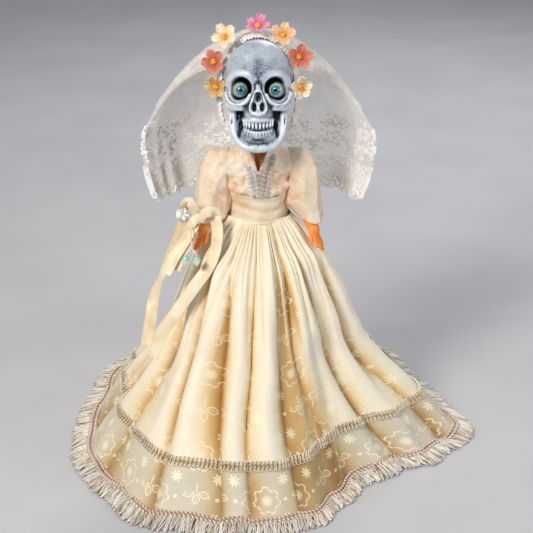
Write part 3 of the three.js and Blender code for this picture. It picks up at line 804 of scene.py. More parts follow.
def bow():
    """The knot, its wrap and the loops beside it."""
    loops = [
        ([[0, 0, 0], [3, -3, 3.6], [6.4, -3.5, 4.8], [8.8, -2, 3.4], [9.2, -1, 1]], (-0.2, -1, 0.35)),
        ([[0, 0, 1], [-2.6, -1.4, 5.4], [-5.4, -0.6, 9.6], [-7.8, 1, 8], [-9, 3, 2], [-9, 4, -4]], (0.3, -1, 0.1)),
        ([[0, 0, 0], [-3, -3, -1], [-5, -3, -5], [-4, -2.4, -7]], (-0.4, -1, 0.1)),
    ]
    for number, (points, facing) in enumerate(loops, 1):
        made, _ = ribbon_strip(f"ribbon_loop_{number}", KNOT + points, facing, 36, curl=0.2,
                               width=RIBBON_WIDTH * (0.8 if number == 1 else 0.7))
        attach(made, "right_arm")
    turn = np.linspace(0, 2 * math.pi, 33)
    across = np.linspace(-1, 1, 9)
    pinch = 1 - 0.18 * np.cos(turn * 5)[:, None] * np.abs(across)[None]
    ring = np.stack([
        3.9 * np.cos(turn)[:, None] * (1 - 0.28 * across[None] ** 2) * pinch,
        2.5 * np.sin(turn)[:, None] * (1 - 0.28 * across[None] ** 2) * pinch,
        np.broadcast_to(3.0 * across, (33, 9)),
    ], -1)
    uv = np.stack(np.broadcast_arrays(across[None] * 3.4, turn[:, None] * 3), -1)
    knot = grid_piece("ribbon_knot", ring + KNOT, RIBBON, uv=uv)
    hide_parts("ribbon_knot")
    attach(knot, "right_arm")


def lace_frill():
    """A rosette of gathered lace beside the knot."""
    centre = KNOT + [-9.4, 0, 2]
    turn = np.linspace(0, 2 * math.pi, 97)
    reach = np.linspace(0.5, 3.3, 9)
    ruffle = np.sin(turn * 5 + 2 * np.sin(turn))[None] * (reach[:, None] / 4) ** 1.5 * 1.8
    edge = 1 + 0.07 * np.sin(turn * 26)[None] * (reach[:, None] / 4) ** 4
    points = np.stack([
        centre[0] + reach[:, None] * np.cos(turn)[None] * edge,
        centre[1] + ruffle - 0.6,
        centre[2] + reach[:, None] * np.sin(turn)[None] * edge,
    ], -1)
    uv = np.stack(np.broadcast_arrays(turn[None] * 5, reach[:, None]), -1)
    made = grid_piece("lace_frill", points, TULLE, uv=uv)
    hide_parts("lace_frill")
    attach(made, "right_arm")
    threads = Bundle()
    for share in (0.55, 0.8, 1.0):
        rim = points[int(share * 8)]
        threads.tube(rim[:-1], 0.22, 4, 0.7, closed=True)
    trim = threads.build("lace_frill_threads", EMBROIDERY)
    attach(trim, "right_arm")


def buds():
    """Two pearly drops that hang on a waxed thread."""
    tops = {"bud_right": KNOT + [-7.4, -16, -16.4], "bud_left": KNOT + [-1, -17.4, -16]}
    fork = KNOT + [-4, -14.4, -12.4]
    threads = Bundle()
    threads.tube(smooth_path([KNOT + [-4, -3, -4], KNOT + [-4.4, -10, -8], fork], 24), 0.4, 6, 0.4)
    for top in tops.values():
        threads.tube(smooth_path([fork, (fork + top) / 2 + [0, -0.4, 0], top], 14), 0.32, 6, 0.6)
    made = threads.build("bud_thread", FRINGE)
    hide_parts("bud_thread")
    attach(made, "right_arm")
    for name, top in tops.items():
        share = np.linspace(0, 1, 22)
        outline = 2.1 * np.sin(math.pi * share**0.8) ** 0.75 * (1 - 0.16 * share) + 0.02
        turn = np.linspace(0, 2 * math.pi, 28, endpoint=False)
        ridge = 1 + 0.03 * np.cos(turn * 5)[None]
        points = np.stack([
            top[0] + outline[:, None] * np.cos(turn)[None] * ridge,
            top[1] + outline[:, None] * np.sin(turn)[None] * ridge,
            np.broadcast_to((top[2] - 6.4 * share)[:, None], (22, 28)),
        ], -1)
        tone = np.broadcast_to((1 - share)[:, None], (22, 28))
        made = grid_piece(name, points, BUD, wrap=True, attributes={"shade": tone})
        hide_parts(name)
        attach(made, "right_arm")


# ---- Skull ----


def skull_field():
    """The moulded skull in the head's own frame, both halves as one. Only x above 0 is given: it mirrors."""
    g = Field((-22.5, -25, -33), (22.5, 29, 33), 0.42, mirror=True)
    # Braincase, forehead, middle of the face and lower jaw.
    g.join(g.ball((0, 5, 8), (19.6, 22.5, 23)))
    g.join(g.ball((0, -2.5, 11), (18.9, 16.5, 19)), 3)
    g.join(g.ball((0, -5, -2), (17.6, 14.2, 15)), 3)
    g.join(g.ball((0, -5, -17.5), (13.6, 14.2, 12.4)), 2)
    g.join(g.ball((0, -11, -11.5), (8.6, 10.2, 7.6)), 2)
    # Hollows beside the upper jaw, and the temples.
    g.carve(g.ball((11.0, -20, -10.2), (3.2, 9, 4.6)), 1.6)
    g.carve(g.ball((9.6, -20, -16.2), (2.2, 8, 5.4)), 1.6)
    g.carve(g.ball((19.6, -13, -10.5), (3.4, 8, 4.2)), 2.5)
    # The jaw: a branch on each side that turns forward into the chin.
    jaw = [(14.2, -10.5, -5.5), (13.9, -12.6, -13), (13.0, -14.4, -20.5), (10.2, -16.2, -25.6), (5.6, -18.2, -28.4),
           (0, -19.0, -29.0)]
    g.join(g.ridge(jaw, 1.9), 2.4)
    for x, y in ((12.2, -15.6), (14.6, -13.8)):
        g.carve(g.rod((x + 0.3, y, -8), (x - 0.9, y - 1.0, -21), 0.35), 0.6)
    # Eye sockets: rounded, with a drooping outer corner.
    brow = [(17.4, -8.4, 3.6), (15.6, -11.6, 8.2), (10.6, -15.8, 11.4), (5.6, -17.9, 10.8), (2.4, -18.4, 8.4)]
    g.join(g.ball((0, -5.0, 10.5), (17.0, 14.6, 8.5)), 4)
    g.join(g.ridge(brow, 0.9), 3.0)
    g.carve(g.ball((9.9, -19.5, 3.8), (6.7, 10.4, 6.5)), 0.9)
    g.carve(g.ball((11.8, -19.0, 1.6), (5.0, 9.8, 5.2)), 1.2)
    rim = [(17.8, -10.8, 1.0), (16.0, -14.2, -3.2), (11.6, -17.6, -5.2), (6.6, -19.0, -3.4), (4.6, -19.2, 0.2)]
    g.join(g.ridge(rim, 0.8), 1.8)
    cheek = [(16.6, -11.8, -5.4), (13.4, -14.6, -7.0), (9.6, -16.8, -7.0)]
    g.join(g.ridge(cheek, 1.3), 2.0)
    g.carve(g.rod((15.2, -16.4, -4.4), (10.4, -18.6, -6.2), 0.4), 0.7)
    # Nose: a narrow bridge, then a tall opening with a raised rim and a thin septum.
    g.join(g.rod((0, -17.6, 8.2), (0, -21.4, 1.6), 0.9, 1.3), 1.6)
    nose = [(1.3, -20.9, 2.2), (3.6, -20.4, -3.4), (4.5, -20.0, -6.4), (3.6, -20.4, -8.8), (0.8, -21.2, -9.6)]
    g.join(g.ridge(nose, 0.62), 1.6)
    g.carve(g.ball((0, -21.6, -1.6), (2.5, 3.6, 3.8)), 0.6)
    g.carve(g.ball((2.2, -21.6, -5.9), (1.9, 4.6, 2.8)), 0.5)
    g.join(g.rod((0, -16.8, -3), (0, -19.8, -8.6), 0.5), 0.5)
    # Upper teeth hang from a smooth, flared gum; lower teeth are small and set back.
    g.join(g.ball((0, -13.0, -13.4), (8.8, 8.6, 2.6)), 1.2)
    for x in (1.0, 2.9, 4.7, 6.3, 7.6):
        y = -20.6 + 0.05 * x * x
        z = -16.2 + 0.022 * x * x
        g.join(g.rod((x, y + 0.5, z + 1.4), (x, y, z - 1.2), 0.86, 0.6), 0.12)
    g.carve(g.ball((0, -22.4, -19.1), (9.4, 5.6, 0.95)), 0.35)
    for x in (0.8, 2.35, 3.85, 5.3, 6.6):
        y = -19.7 + 0.06 * x * x
        z = -20.5 + 0.03 * x * x
        g.join(g.rod((x, y, z + 0.4), (x, y + 0.3, z - 0.8), 0.74, 0.6), 0.15)
    g.carve(g.ball((9.9, -18, -20.2), (1.7, 4.5, 3.2)), 1.0)
    g.join(g.ball((0, -12.0, -23.4), (11.2, 8.2, 6.4)), 2.2)
    g.carve(g.ball((0, -21.0, -24.2), (5.0, 1.0, 0.8)), 1.4)
    g.join(g.ball((2.3, -18.8, -28.2), (3.0, 2.2, 1.7)), 1.0)
    # Room for the neck.
    g.carve(g.rod((0, 0, -40), (0, 3, -20), 6.2), 1)
    return g


def skull():
    g = skull_field()
    points, faces = g.surface()
    # Painted shade and painted highlight: points in recesses are darker and points on ridges lighter, from how far the
    # solid round each point stands out. This is laid over the skull's own silvery tone and wash.
    broad = g.sample(g.hollowness(22), points)
    fine = g.sample(g.hollowness(3), points)
    wash_and_painted_light = 0.58 + np.clip(broad * 0.24, -0.2, 0.08) + fine * 1.6
    # Painted shade darkens the colour deep inside the face. The middle of the forehead is greyest from the skull's own
    # wash; the colour is also darker between the brows and below the lower teeth.
    x, y, z = np.abs(points[:, 0]), points[:, 1], points[:, 2]
    face_front = -20.5 + 0.028 * x**2 + 0.006 * np.maximum(-z - 10, 0) ** 2
    depth = y - face_front
    wash_and_painted_light -= 0.24 * eased((depth - 2.2) / 3.5) * eased((15.5 - x) / 3) * eased((11 - z) / 3) * (y < 0)
    wash_and_painted_light -= 0.16 * np.exp(-((x / 8) ** 2) - ((z - 12) / 8) ** 2)
    wash_and_painted_light -= 0.12 * np.exp(-((x / 3.5) ** 2) - ((z - 6.5) / 1.8) ** 2)
    wash_and_painted_light -= 0.16 * np.exp(-(((x - 3) / 7) ** 2) - ((z + 22.5) / 3.2) ** 2)
    wash_and_painted_light = np.clip(wash_and_painted_light, 0, 1)
    seam = np.abs(points[:, 1] - 1.0)
    wash_and_painted_light = np.where(seam < 0.5, 0.12, wash_and_painted_light)
    middle = points[faces].mean(1)
    for name, chosen, node in (
        ("skull_face", middle[:, 1] <= 1.0, "skull_face"),
        ("skull_back", middle[:, 1] > 1.0, "skull_back"),
    ):
        used, renumbered = np.unique(faces[chosen], return_inverse=True)
        made = piece(name, head_points(points[used]), renumbered.reshape(-1, 4), SKULL, {"wash_and_painted_light": wash_and_painted_light[used]})
        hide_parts(node)
        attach(made, "head")


def eyes():
    for name in ("eye_right", "eye_left"):
        low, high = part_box(name)
        centre = (np.array(low) + np.array(high)) / 2 / MM - [AXIS_X / MM, 0, 0]
        radius = 4.65
        turn = np.linspace(0, 2 * math.pi, 64, endpoint=False)
        polar = np.linspace(0.01, math.pi - 0.02, 60)
        off_axis = radius * np.sin(np.minimum(polar, math.pi / 2)) + np.maximum(polar - math.pi / 2, 0) * 3
        bulge = 0.35 * np.clip(1 - (off_axis / 2.6) ** 2, 0, 1)
        reach = radius + bulge
        toward = 0.1 if name == "eye_right" else -0.1
        x = reach[:, None] * np.sin(polar)[:, None] * np.cos(turn)[None]
        z = reach[:, None] * np.sin(polar)[:, None] * np.sin(turn)[None]
        y = np.broadcast_to((-reach * np.cos(polar))[:, None], x.shape)
        local = np.stack([x * math.cos(toward) - y * math.sin(toward), x * math.sin(toward) + y * math.cos(toward), z],
                         -1)
        sin, cos = math.sin(HEAD_TILT + 0.06), math.cos(HEAD_TILT + 0.06)
        turned = np.stack([local[..., 0], local[..., 1] * cos - local[..., 2] * sin,
                           local[..., 1] * sin + local[..., 2] * cos], -1)
        spoke = np.abs(turn / math.pi - 1)
        made = grid_piece(name, turned + centre, EYE, wrap=True, attributes={
            "off_axis": np.broadcast_to(off_axis[:, None], x.shape),
            "spoke": np.broadcast_to(spoke[None], x.shape),
        })
        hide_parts(name)
        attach(made, "head")


# ---- Crown ----

# Place in the head's frame, the way each faces, its size and its paper.
FLOWERS = [
    ([-22.8, -7.0, 4.4], [-0.35, -1, -0.1], 6.8, "gold"),
    ([-24.2, -6.4, 17.8], [-0.3, -1, 0.05], 7.6, "coral"),
    ([-18.2, -5.0, 31], [-0.2, -1, 0.3], 7.8, "cream"),
    ([-0.3, -3.4, 36.8], [0, -1, 1.1], 7.4, "pink"),
    ([13.4, -5.0, 32.4], [0.1, -1, 0.35], 7.4, "peach"),
    ([22.2, -6.4, 20.6], [0.2, -1, 0.05], 7.6, "coral"),
    ([22.8, -7.0, 3.8], [0.5, -1, -0.05], 7.0, "cream"),
]


def flower(number, at, faces_way, size, paper):
    """Five cupped, ruffled petals round a lumpy bead of stamens."""
    random = np.random.default_rng(number)
    away = Vector(faces_way).normalized()
    turn = away.to_track_quat("Z", "Y").to_matrix()
    basis = np.array(turn)
    rows, columns = 12, 15
    points, reaches, acrosses = [], [], []
    for petal in range(5):
        heading = math.radians(90 + 72 * petal + random.uniform(-6, 6) + number * 11)
        s = np.linspace(0, 1, rows)[:, None]
        t = np.linspace(-1, 1, columns)[None]
        width = size * 0.36 * (0.2 + 0.8 * np.sin(math.pi * np.clip(s * 0.68, 0, 1)) ** 1.2)
        notch = 0.1 * np.exp(-((t / 0.3) ** 2)) * s**5 + 0.03 * np.sin(t * 11 + petal * 2) * s**6
        reach = size * s * (1 - 0.36 * t**2 * s**2 - notch)
        x = width * t * (1 + 0.04 * random.uniform(-1, 1))
        cup = 0.42 * size * s**1.6 + 0.14 * size * t**2 * s
        ruffle = 0.075 * size * np.sin(t * 6.5 + random.uniform(0, 6)) * s**2.5
        ribs = 0.018 * size * np.cos(t * 16) * s
        lift = cup * random.uniform(0.35, 1.25) + ruffle + ribs + 0.06 * petal
        local = np.stack(np.broadcast_arrays(
            reach * math.cos(heading) - x * math.sin(heading),
            reach * math.sin(heading) + x * math.cos(heading),
            lift), -1)
        points.append(local)
        reaches.append(np.broadcast_to(s, local.shape[:2]))
        acrosses.append(np.broadcast_to(t, local.shape[:2]))
    faces = np.concatenate([grid_faces(rows, columns)[0] + i * rows * columns for i in range(5)])
    local = np.concatenate([p.reshape(-1, 3) for p in points])
    world = head_points(local @ basis.T + np.asarray(at, float))
    made = piece(f"flower_{number}", world, faces, PETALS[paper], {
        "reach": np.concatenate([r.ravel() for r in reaches]),
        "across": np.concatenate([a.ravel() for a in acrosses]),
    })
    solid = made.modifiers.new("paper", "SOLIDIFY")
    solid.thickness = 0.35 * MM
    solid.offset = 0
    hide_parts(f"flower_{number}")
    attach(made, "head")
    beads = Bundle()
    for k in range(16):
        angle = k * 2.4
        spread = 0.33 * math.sqrt(k)
        spot = np.array([spread * math.cos(angle), spread * math.sin(angle), 1.5 - 0.05 * k])
        polar = np.linspace(0.05, math.pi - 0.05, 7)
        ring = np.linspace(0, 2 * math.pi, 8, endpoint=False)
        ball = np.stack([
            np.sin(polar)[:, None] * np.cos(ring)[None] * 0.62,
            np.sin(polar)[:, None] * np.sin(ring)[None] * 0.62,
            np.broadcast_to(np.cos(polar)[:, None] * 1.0, (7, 8)),
        ], -1)
        beads.patch(head_points((ball + spot) @ basis.T + np.asarray(at, float)), random.uniform(0.2, 0.9), wrap=True)
    centre = beads.build(f"flower_centre_{number}", STAMEN)
    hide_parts(f"flower_centre_{number}")
    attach(centre, "head")


def band_surface(lift, gather, half_width, reach_degrees=108):
    """The band over the top of the head from ear to ear, puffed along its middle."""
    along = np.linspace(-1, 1, 300)[None]
    across = np.linspace(-1, 1, 17)[:, None]
    angle = along * math.radians(reach_degrees)
    folds = gather * (np.sin(along * 150 + 2.5 * np.sin(across * 2.4)) + 0.7 * np.sin(along * 67 + across))
    puff = lift * (1 - across**2) ** 0.7 + folds
    x = (20.6 + puff) * np.sin(angle)
    z = (30.9 + puff) * np.cos(angle)
    z = np.where(z < 0, z * 1.15, z)
    y = -0.6 + across * half_width + 0.2 * np.sin(along * 61)
    points = np.stack(np.broadcast_arrays(x, y, z), -1)
    uv = np.stack(np.broadcast_arrays(along * 62, across * half_width * 1.3), -1)
    return head_points(points), uv


def headband():
    """A padded band covered with lace, ruched a little, and a lace edge on each side."""
    points, uv = band_surface(2.3, 0.1, 4.4)
    made = grid_piece("headband", points, BAND_CLOTH, uv=uv)
    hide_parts("headband")
    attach(made, "head")
    points, uv = band_surface(2.6, 0.28, 5.0, 116)
    cover = grid_piece("headband_lace", points, LACE_COVER, uv=uv)
    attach(cover, "head")


LACE_COVER = net_finish("headband_lace", 1.3, 0.36, 0.25)
BAND_CLOTH = satin_finish("headband_cloth", "eadccb", "d8bfa4", motifs=False)


# ---- Arms and clothes above the waist ----


def arm(side, name):
    """Upper arm, forearm and a hand with a thumb and four fingers. Side is -1 for the doll's right."""
    g = Field((16, -22, 116), (46, 8, 176), 0.5)
    g.join(g.rod((21, 0, 168), (24.8, -2, 152), 5.1, 4.6))
    g.join(g.rod((24.8, -2, 152), (28.4, -8, 138), 4.6, 3.5), 2)
    g.join(g.rod((28.4, -8, 138), (30.0, -9.4, 134), 3.5, 3.2), 1.5)
    g.join(g.ball((31.6, -10.8, 130.5), (3.1, 3.6, 4.6)), 1.6)
    fingers = [
        [(33.2, -9.6, 128.4), (35.2, -10.4, 124.6), (36.4, -11.2, 121.6)],
        [(33.0, -11.2, 127.6), (35.2, -12.6, 123.4), (36.6, -13.6, 120.4)],
        [(32.2, -12.6, 127.4), (34.2, -14.4, 123.6), (35.4, -15.2, 121.2)],
        [(31.2, -13.4, 128.0), (32.6, -15.2, 125.0), (33.2, -15.8, 122.8)],
    ]
    for knuckle, bend, tip in fingers:
        g.join(g.rod(knuckle, bend, 1.35, 1.15), 0.5)
        g.join(g.rod(bend, tip, 1.15, 0.85), 0.3)
    g.join(g.rod((29.6, -12.4, 131.5), (29.4, -15.0, 127.6), 1.4, 1.15), 0.8)
    g.join(g.rod((29.4, -15.0, 127.6), (30.2, -16.4, 125.2), 1.15, 0.85), 0.3)
    g.keep(ARM_JOINT_X - g.x + 0 * g.y + 0 * g.z)
    points, faces = g.surface()
    if side < 0:
        points = points * [-1, 1, 1]
        faces = faces[:, ::-1]
    made = piece(f"{name}_arm", points, faces, SKIN)
    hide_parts(f"{name}_arm")
    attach(made, f"{name}_arm")


def torso_distance(g):
    """Roughly the doll's torso under its clothes."""
    chest = g.ball((0, 0, 160), (14.6, 10.6, 17))
    waist = g.ball((0, 0.4, 146), (13.4, 11.6, 18))
    shoulders = g.rod((-14, 0, SHOULDER_Z), (14, 0, SHOULDER_Z), 6.2)
    neck = g.rod((0, 0, 168), (0, 0, 184), 6.4)
    base = Field.__new__(Field)
    base.values = chest
    base.join(waist, 5)
    base.join(shoulders, 5)
    base.join(neck, 7)
    return base.values


def crumple(points, seed, size, depth):
    """Soft irregular creases, as an amount for each point."""
    random = np.random.default_rng(seed)
    total = np.zeros(len(points))
    for octave in range(3):
        for _ in range(3):
            way = random.normal(size=3)
            way /= np.linalg.norm(way)
            phase = random.uniform(0, 6.3)
            wave = np.sin(points @ way * (2 * math.pi / (size / 1.8**octave)) + phase)
            total += (1 - np.abs(wave)) * depth / 3 / 1.6**octave
    return total


def bodice():
    """A thin shell of cloth over the chest, open at the neck and armholes."""
    g = Field((-24, -17, 146), (24, 17, 186), 0.5)
    skin = torso_distance(g)
    g.values = np.abs(skin - 1.5) - 0.55
    g.keep(BAND_TOP_Z - 1.5 - g.z + 0 * g.x + 0 * g.y)
    half_width = np.clip((g.z - 166) * 0.38, 0.0, 6.0)
    vee = np.where(g.y < 0, half_width - np.abs(g.x), -9.0 + 0 * g.x + 0 * g.z)
    g.keep(np.where(g.z > 166.5, vee, -9.0))
    g.keep(g.rod((0, 1, 160), (0, 1.5, 190), 7.2) * -1.0)
    g.keep(np.abs(g.x) - ARM_JOINT_X + 0 * g.y + 0 * g.z)
    g.keep(g.z - 179.5 + 0 * g.x + 0 * g.y)
    points, faces = g.surface()
    outwards = points - np.array([0, 0, 160])
    outwards[:, 2] *= 0.2
    outwards /= np.linalg.norm(outwards, axis=1, keepdims=True)
    creases = crumple(points, 4, 15, 1.3)
    # Drag lines run from each armhole down towards the middle of the waist.
    drag = np.abs(points[:, 0]) * 0.75 + (points[:, 2] - 160) * 0.9
    creases += 0.35 * np.sin(drag * 0.95) * eased((np.abs(points[:, 0]) - 4) / 5)
    front = eased((-points[:, 1]) / 6)
    pleats = 0.35 * np.sin(points[:, 0] * 1.1 + 0.6) * eased((160 - points[:, 2]) / 8) * front
    pouch = 1.3 * np.exp(-(((points[:, 2] - 155.5) / 3.2) ** 2))
    points = points + outwards * (creases + pleats + pouch)[:, None]
    made = piece("bodice", points, faces, BODICE_SATIN)
    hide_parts("bodice")
    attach(made, "body")


def sleeve(side, name):
    """A loose elbow-length sleeve with a narrow turned hem, hanging from the shoulder seam."""
    rings, columns = 64, 96
    down = np.linspace(0, 1, rings)[:, None]
    turn = np.linspace(0, 2 * math.pi, columns, endpoint=False)[None]
    narrow = 1 if side > 0 else 0
    stations = [0, 0.2, 0.45, 0.75, 1]
    centre_x = np.interp(down, stations, [16.0, 21.0, 24.2, 25.6 - 0.6 * narrow, 28.0 + 2.6 * narrow])
    centre_z = np.interp(down, stations, [168.6, 167.8, 160.5, 147.5, SLEEVE_HEM_Z - 4.4])
    centre_y = np.interp(down, [0, 0.6, 1], [0.2, -1.8, -4.4])
    slope = np.interp(down, stations, [0.1, 0.45, 1.1, 1.4, 1.48])
    wide = np.interp(down, stations, [8.2, 9.8, 10.2, 10.5, 8.4 - 2.0 * narrow])
    deep = np.interp(down, stations, [7.4, 9.2, 9.8, 9.8, 9.4])
    # The cloth folds from the top of the shoulder towards the hem, more sharply than it curves back.
    folds = 0.0
    for count, bearing, lean, depth in ((3, 0.4, 2.4, 0.8), (4, 2.1, -3.4, 0.75), (7, 1.2, 4.6, 0.4)):
        folds = folds + depth * (1 - 2 * np.abs(np.sin((turn * count + bearing + lean * down) / 2)) ** 0.6)
    folds = folds * eased(down * 4) * (1.2 - 0.4 * down) - 0.7 * np.exp(-((down / 0.06) ** 2))
    hem = 0.35 * eased((down - 0.955) / 0.02)
    u_out = (wide + folds + hem) * np.cos(turn)
    v_out = (deep + folds + hem) * np.sin(turn)
    # Across the sleeve: one way is front to back, the other lies across the arm's slope.
    x = centre_x + u_out * np.sin(slope)
    z = centre_z + u_out * np.cos(slope)
    y = centre_y + v_out
    droop = 1.1 * np.sin(turn * 2 + 0.8) * eased((down - 0.6) / 0.4)
    z = z + droop
    points = np.stack([x * side, y, z], -1)
    uv = np.stack(np.broadcast_arrays(turn * 10.4, down * 34), -1)
    made = grid_piece(f"{name}_sleeve", points if side > 0 else points[:, ::-1], BODICE_SATIN, uv=uv, wrap=True)
    solid = made.modifiers.new("cloth", "SOLIDIFY")
    solid.thickness = 0.5 * MM
    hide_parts(f"{name}_sleeve")
    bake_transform(made)


def waistband():
    """A smooth satin band, dipping a little in front, with wrinkles across it and a turned edge."""
    rings, columns = 34, 240
    down = np.linspace(0, 1, rings)[:, None]
    turn = np.linspace(0, 2 * math.pi, columns, endpoint=False)[None]
    front = 0.5 - 0.5 * np.sin(turn)
    top = BAND_TOP_Z + 1.2 + 0.5 * np.sin(turn * 3 + 1) - 1.2 * front
    foot = SKIRT_TOP_Z - 0.4 - 1.6 * front**2
    z = top + (foot - top) * down
    wrinkle = 0.35 * np.sin(down * 14 + 2.2 * np.sin(turn * 2 + 0.7) + turn) * np.sin(down * math.pi)
    edge = 0.35 * (np.exp(-((down / 0.05) ** 2)) + np.exp(-(((1 - down) / 0.05) ** 2)))
    x = (16.2 - 0.5 * np.sin(down * math.pi) + wrinkle + edge) * np.cos(turn)
    y = (15.0 - 0.6 * np.sin(down * math.pi) + wrinkle + edge) * np.sin(turn)
    points = np.stack(np.broadcast_arrays(x, y, z), -1)
    made = grid_piece("waistband", points, BAND_SATIN, wrap=True)
    solid = made.modifiers.new("cloth", "SOLIDIFY")
    solid.thickness = 0.6 * MM
    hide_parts("waistband")
    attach(made, "body")


def neckline_braid():
    """Two strips of tiny thread loops that meet in a V and run down the chest."""
    threads = Bundle()
    random = np.random.default_rng(8)
    for side in (-1, 1):
        for lane in (-3, -1.5, 0, 1.5, 3):
            path = smooth_path([
                [side * (6.6 + lane), -5.2, 177.0], [side * (5.2 + lane), -9.9, 170.5],
                [side * (3.7 + lane * 0.9), -12.3, 165.5], [side * (2.7 + lane * 0.8), -14.1, 158.5],
                [side * (1.9 + lane * 0.6), -15.2, 153.6],
            ], 200)
            turn = np.linspace(0, 2 * math.pi * 21, 200) + lane
            ahead = np.gradient(path, axis=0)
            ahead /= np.linalg.norm(ahead, axis=1, keepdims=True)
            beside = np.cross(ahead, [0, -1, 0])
            looped = path + beside * np.cos(turn)[:, None] * 0.85 + ahead * np.sin(turn)[:, None] * 0.6
            looped[:, 1] += 0.5 * np.sin(turn * 0.5 + lane) - 1.9
            threads.tube(looped, 0.25, 4, random.uniform(0.3, 0.95))
    made = threads.build("neckline_braid", SILVER_BRAID)
    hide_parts("neckline_braid")
    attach(made, "body")


SILVER_BRAID = thread_finish("silver_braid", (0.1, "8a7c70"), (0.4, "c0b3a6"), (0.65, "e6e0d8"), (0.95, "ffffff"),
                             metallic=0.35, roughness=0.38)


def snaps():
    """Two pressed snap fasteners at the back opening."""
    for name in ("back_snap_upper", "back_snap_lower"):
        low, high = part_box(name)
        centre = (np.array(low) + np.array(high)) / 2 / MM - [AXIS_X / MM, 0, 0]
        outline = np.array([[0.01, 1.5], [0.8, 1.45], [1.0, 1.0], [1.5, 0.8], [1.7, 0.4], [2.2, 0.25], [2.3, 0.0],
                            [2.2, -0.4], [0.01, -0.4]])
        turn = np.linspace(0, 2 * math.pi, 32, endpoint=False)
        points = np.stack([
            outline[:, :1] * np.cos(turn)[None],
            np.broadcast_to(outline[:, 1:], (len(outline), 32)),
            outline[:, :1] * np.sin(turn)[None],
        ], -1)
        made = grid_piece(name, points + centre + [0, 1.2, 0], WIRE, wrap=True)
        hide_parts(name)
        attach(made, "body")


# ---- Gown below the waist ----

# Where the fringe ends on the floor: bearing in degrees from the front towards +x, and distance.
HEM_OUTLINE = [
    (-180, 124), (-150, 132), (-125, 122), (-104, 111.6), (-84, 112.6), (-62, 119), (-47, 122),
    (-30, 131), (-16, 126), (4, 124), (16, 119), (27, 106), (40, 96), (54, 101), (68, 117), (84, 131),
    (100, 120), (118, 117), (140, 130), (160, 128), (180, 124),
]
# How far the cloth has spread at each height: the height, and the share of the way from waist to hem.
SKIRT_PROFILE = [(138, 0), (131, 0.06), (122, 0.13), (114, 0.235), (107, 0.3), (87, 0.42), (69, 0.525), (48, 0.7),
                 (24, 0.82), (10, 0.92), (1.6, 1)]
# The valleys between the broad folds: their bearing below the waist, half way down and at the hem,
# and how far the fold after each one stands out.
FOLDS = [
    (-180, -180, -180, 5), (-156, -158, -160, 6), (-132, -134, -138, 5), (-108, -110, -112, 6), (-86, -84, -86, 5.5),
    (-66, -60, -56, 7), (-45, -37, -30, 6.5), (-30, -18, -11, 6), (-3, -5, -3, 5), (17, 11, 12, 0.6),
    (26, 24, 36, 7), (48, 50, 58, 5.5), (70, 72, 78, 6), (92, 95, 99, 5), (116, 119, 122, 6), (138, 141, 144, 5),
    (160, 162, 162, 5), (180, 180, 180, 5),
]
ROWS = 190
GOWN_COLUMNS = 1080


def hem_radius(bearing):
    """The outline between its points, eased."""
    points = np.array(HEM_OUTLINE, float)
    index = np.clip(np.searchsorted(points[:, 0], bearing, side="right") - 1, 0, len(points) - 2)
    share = (bearing - points[index, 0]) / (points[index + 1, 0] - points[index, 0])
    rise = (1 - np.cos(math.pi * share)) / 2
    return points[index, 1] + (points[index + 1, 1] - points[index, 1]) * rise


def side_tuck(bearing, z):
    """Towards the doll's sides the cloth hangs closer before it spreads over the floor."""
    side = 0.35 + 0.65 * np.sin(np.radians(bearing)) ** 2
    return 1 - 0.36 * side * eased((128 - z) / 26) * eased((z - 8) / 54)


def smoothed(values, passes=6):
    out = values.copy()
    for _ in range(passes):
        out[1:-1] = (out[:-2] + 2 * out[1:-1] + out[2:]) / 4
    return out


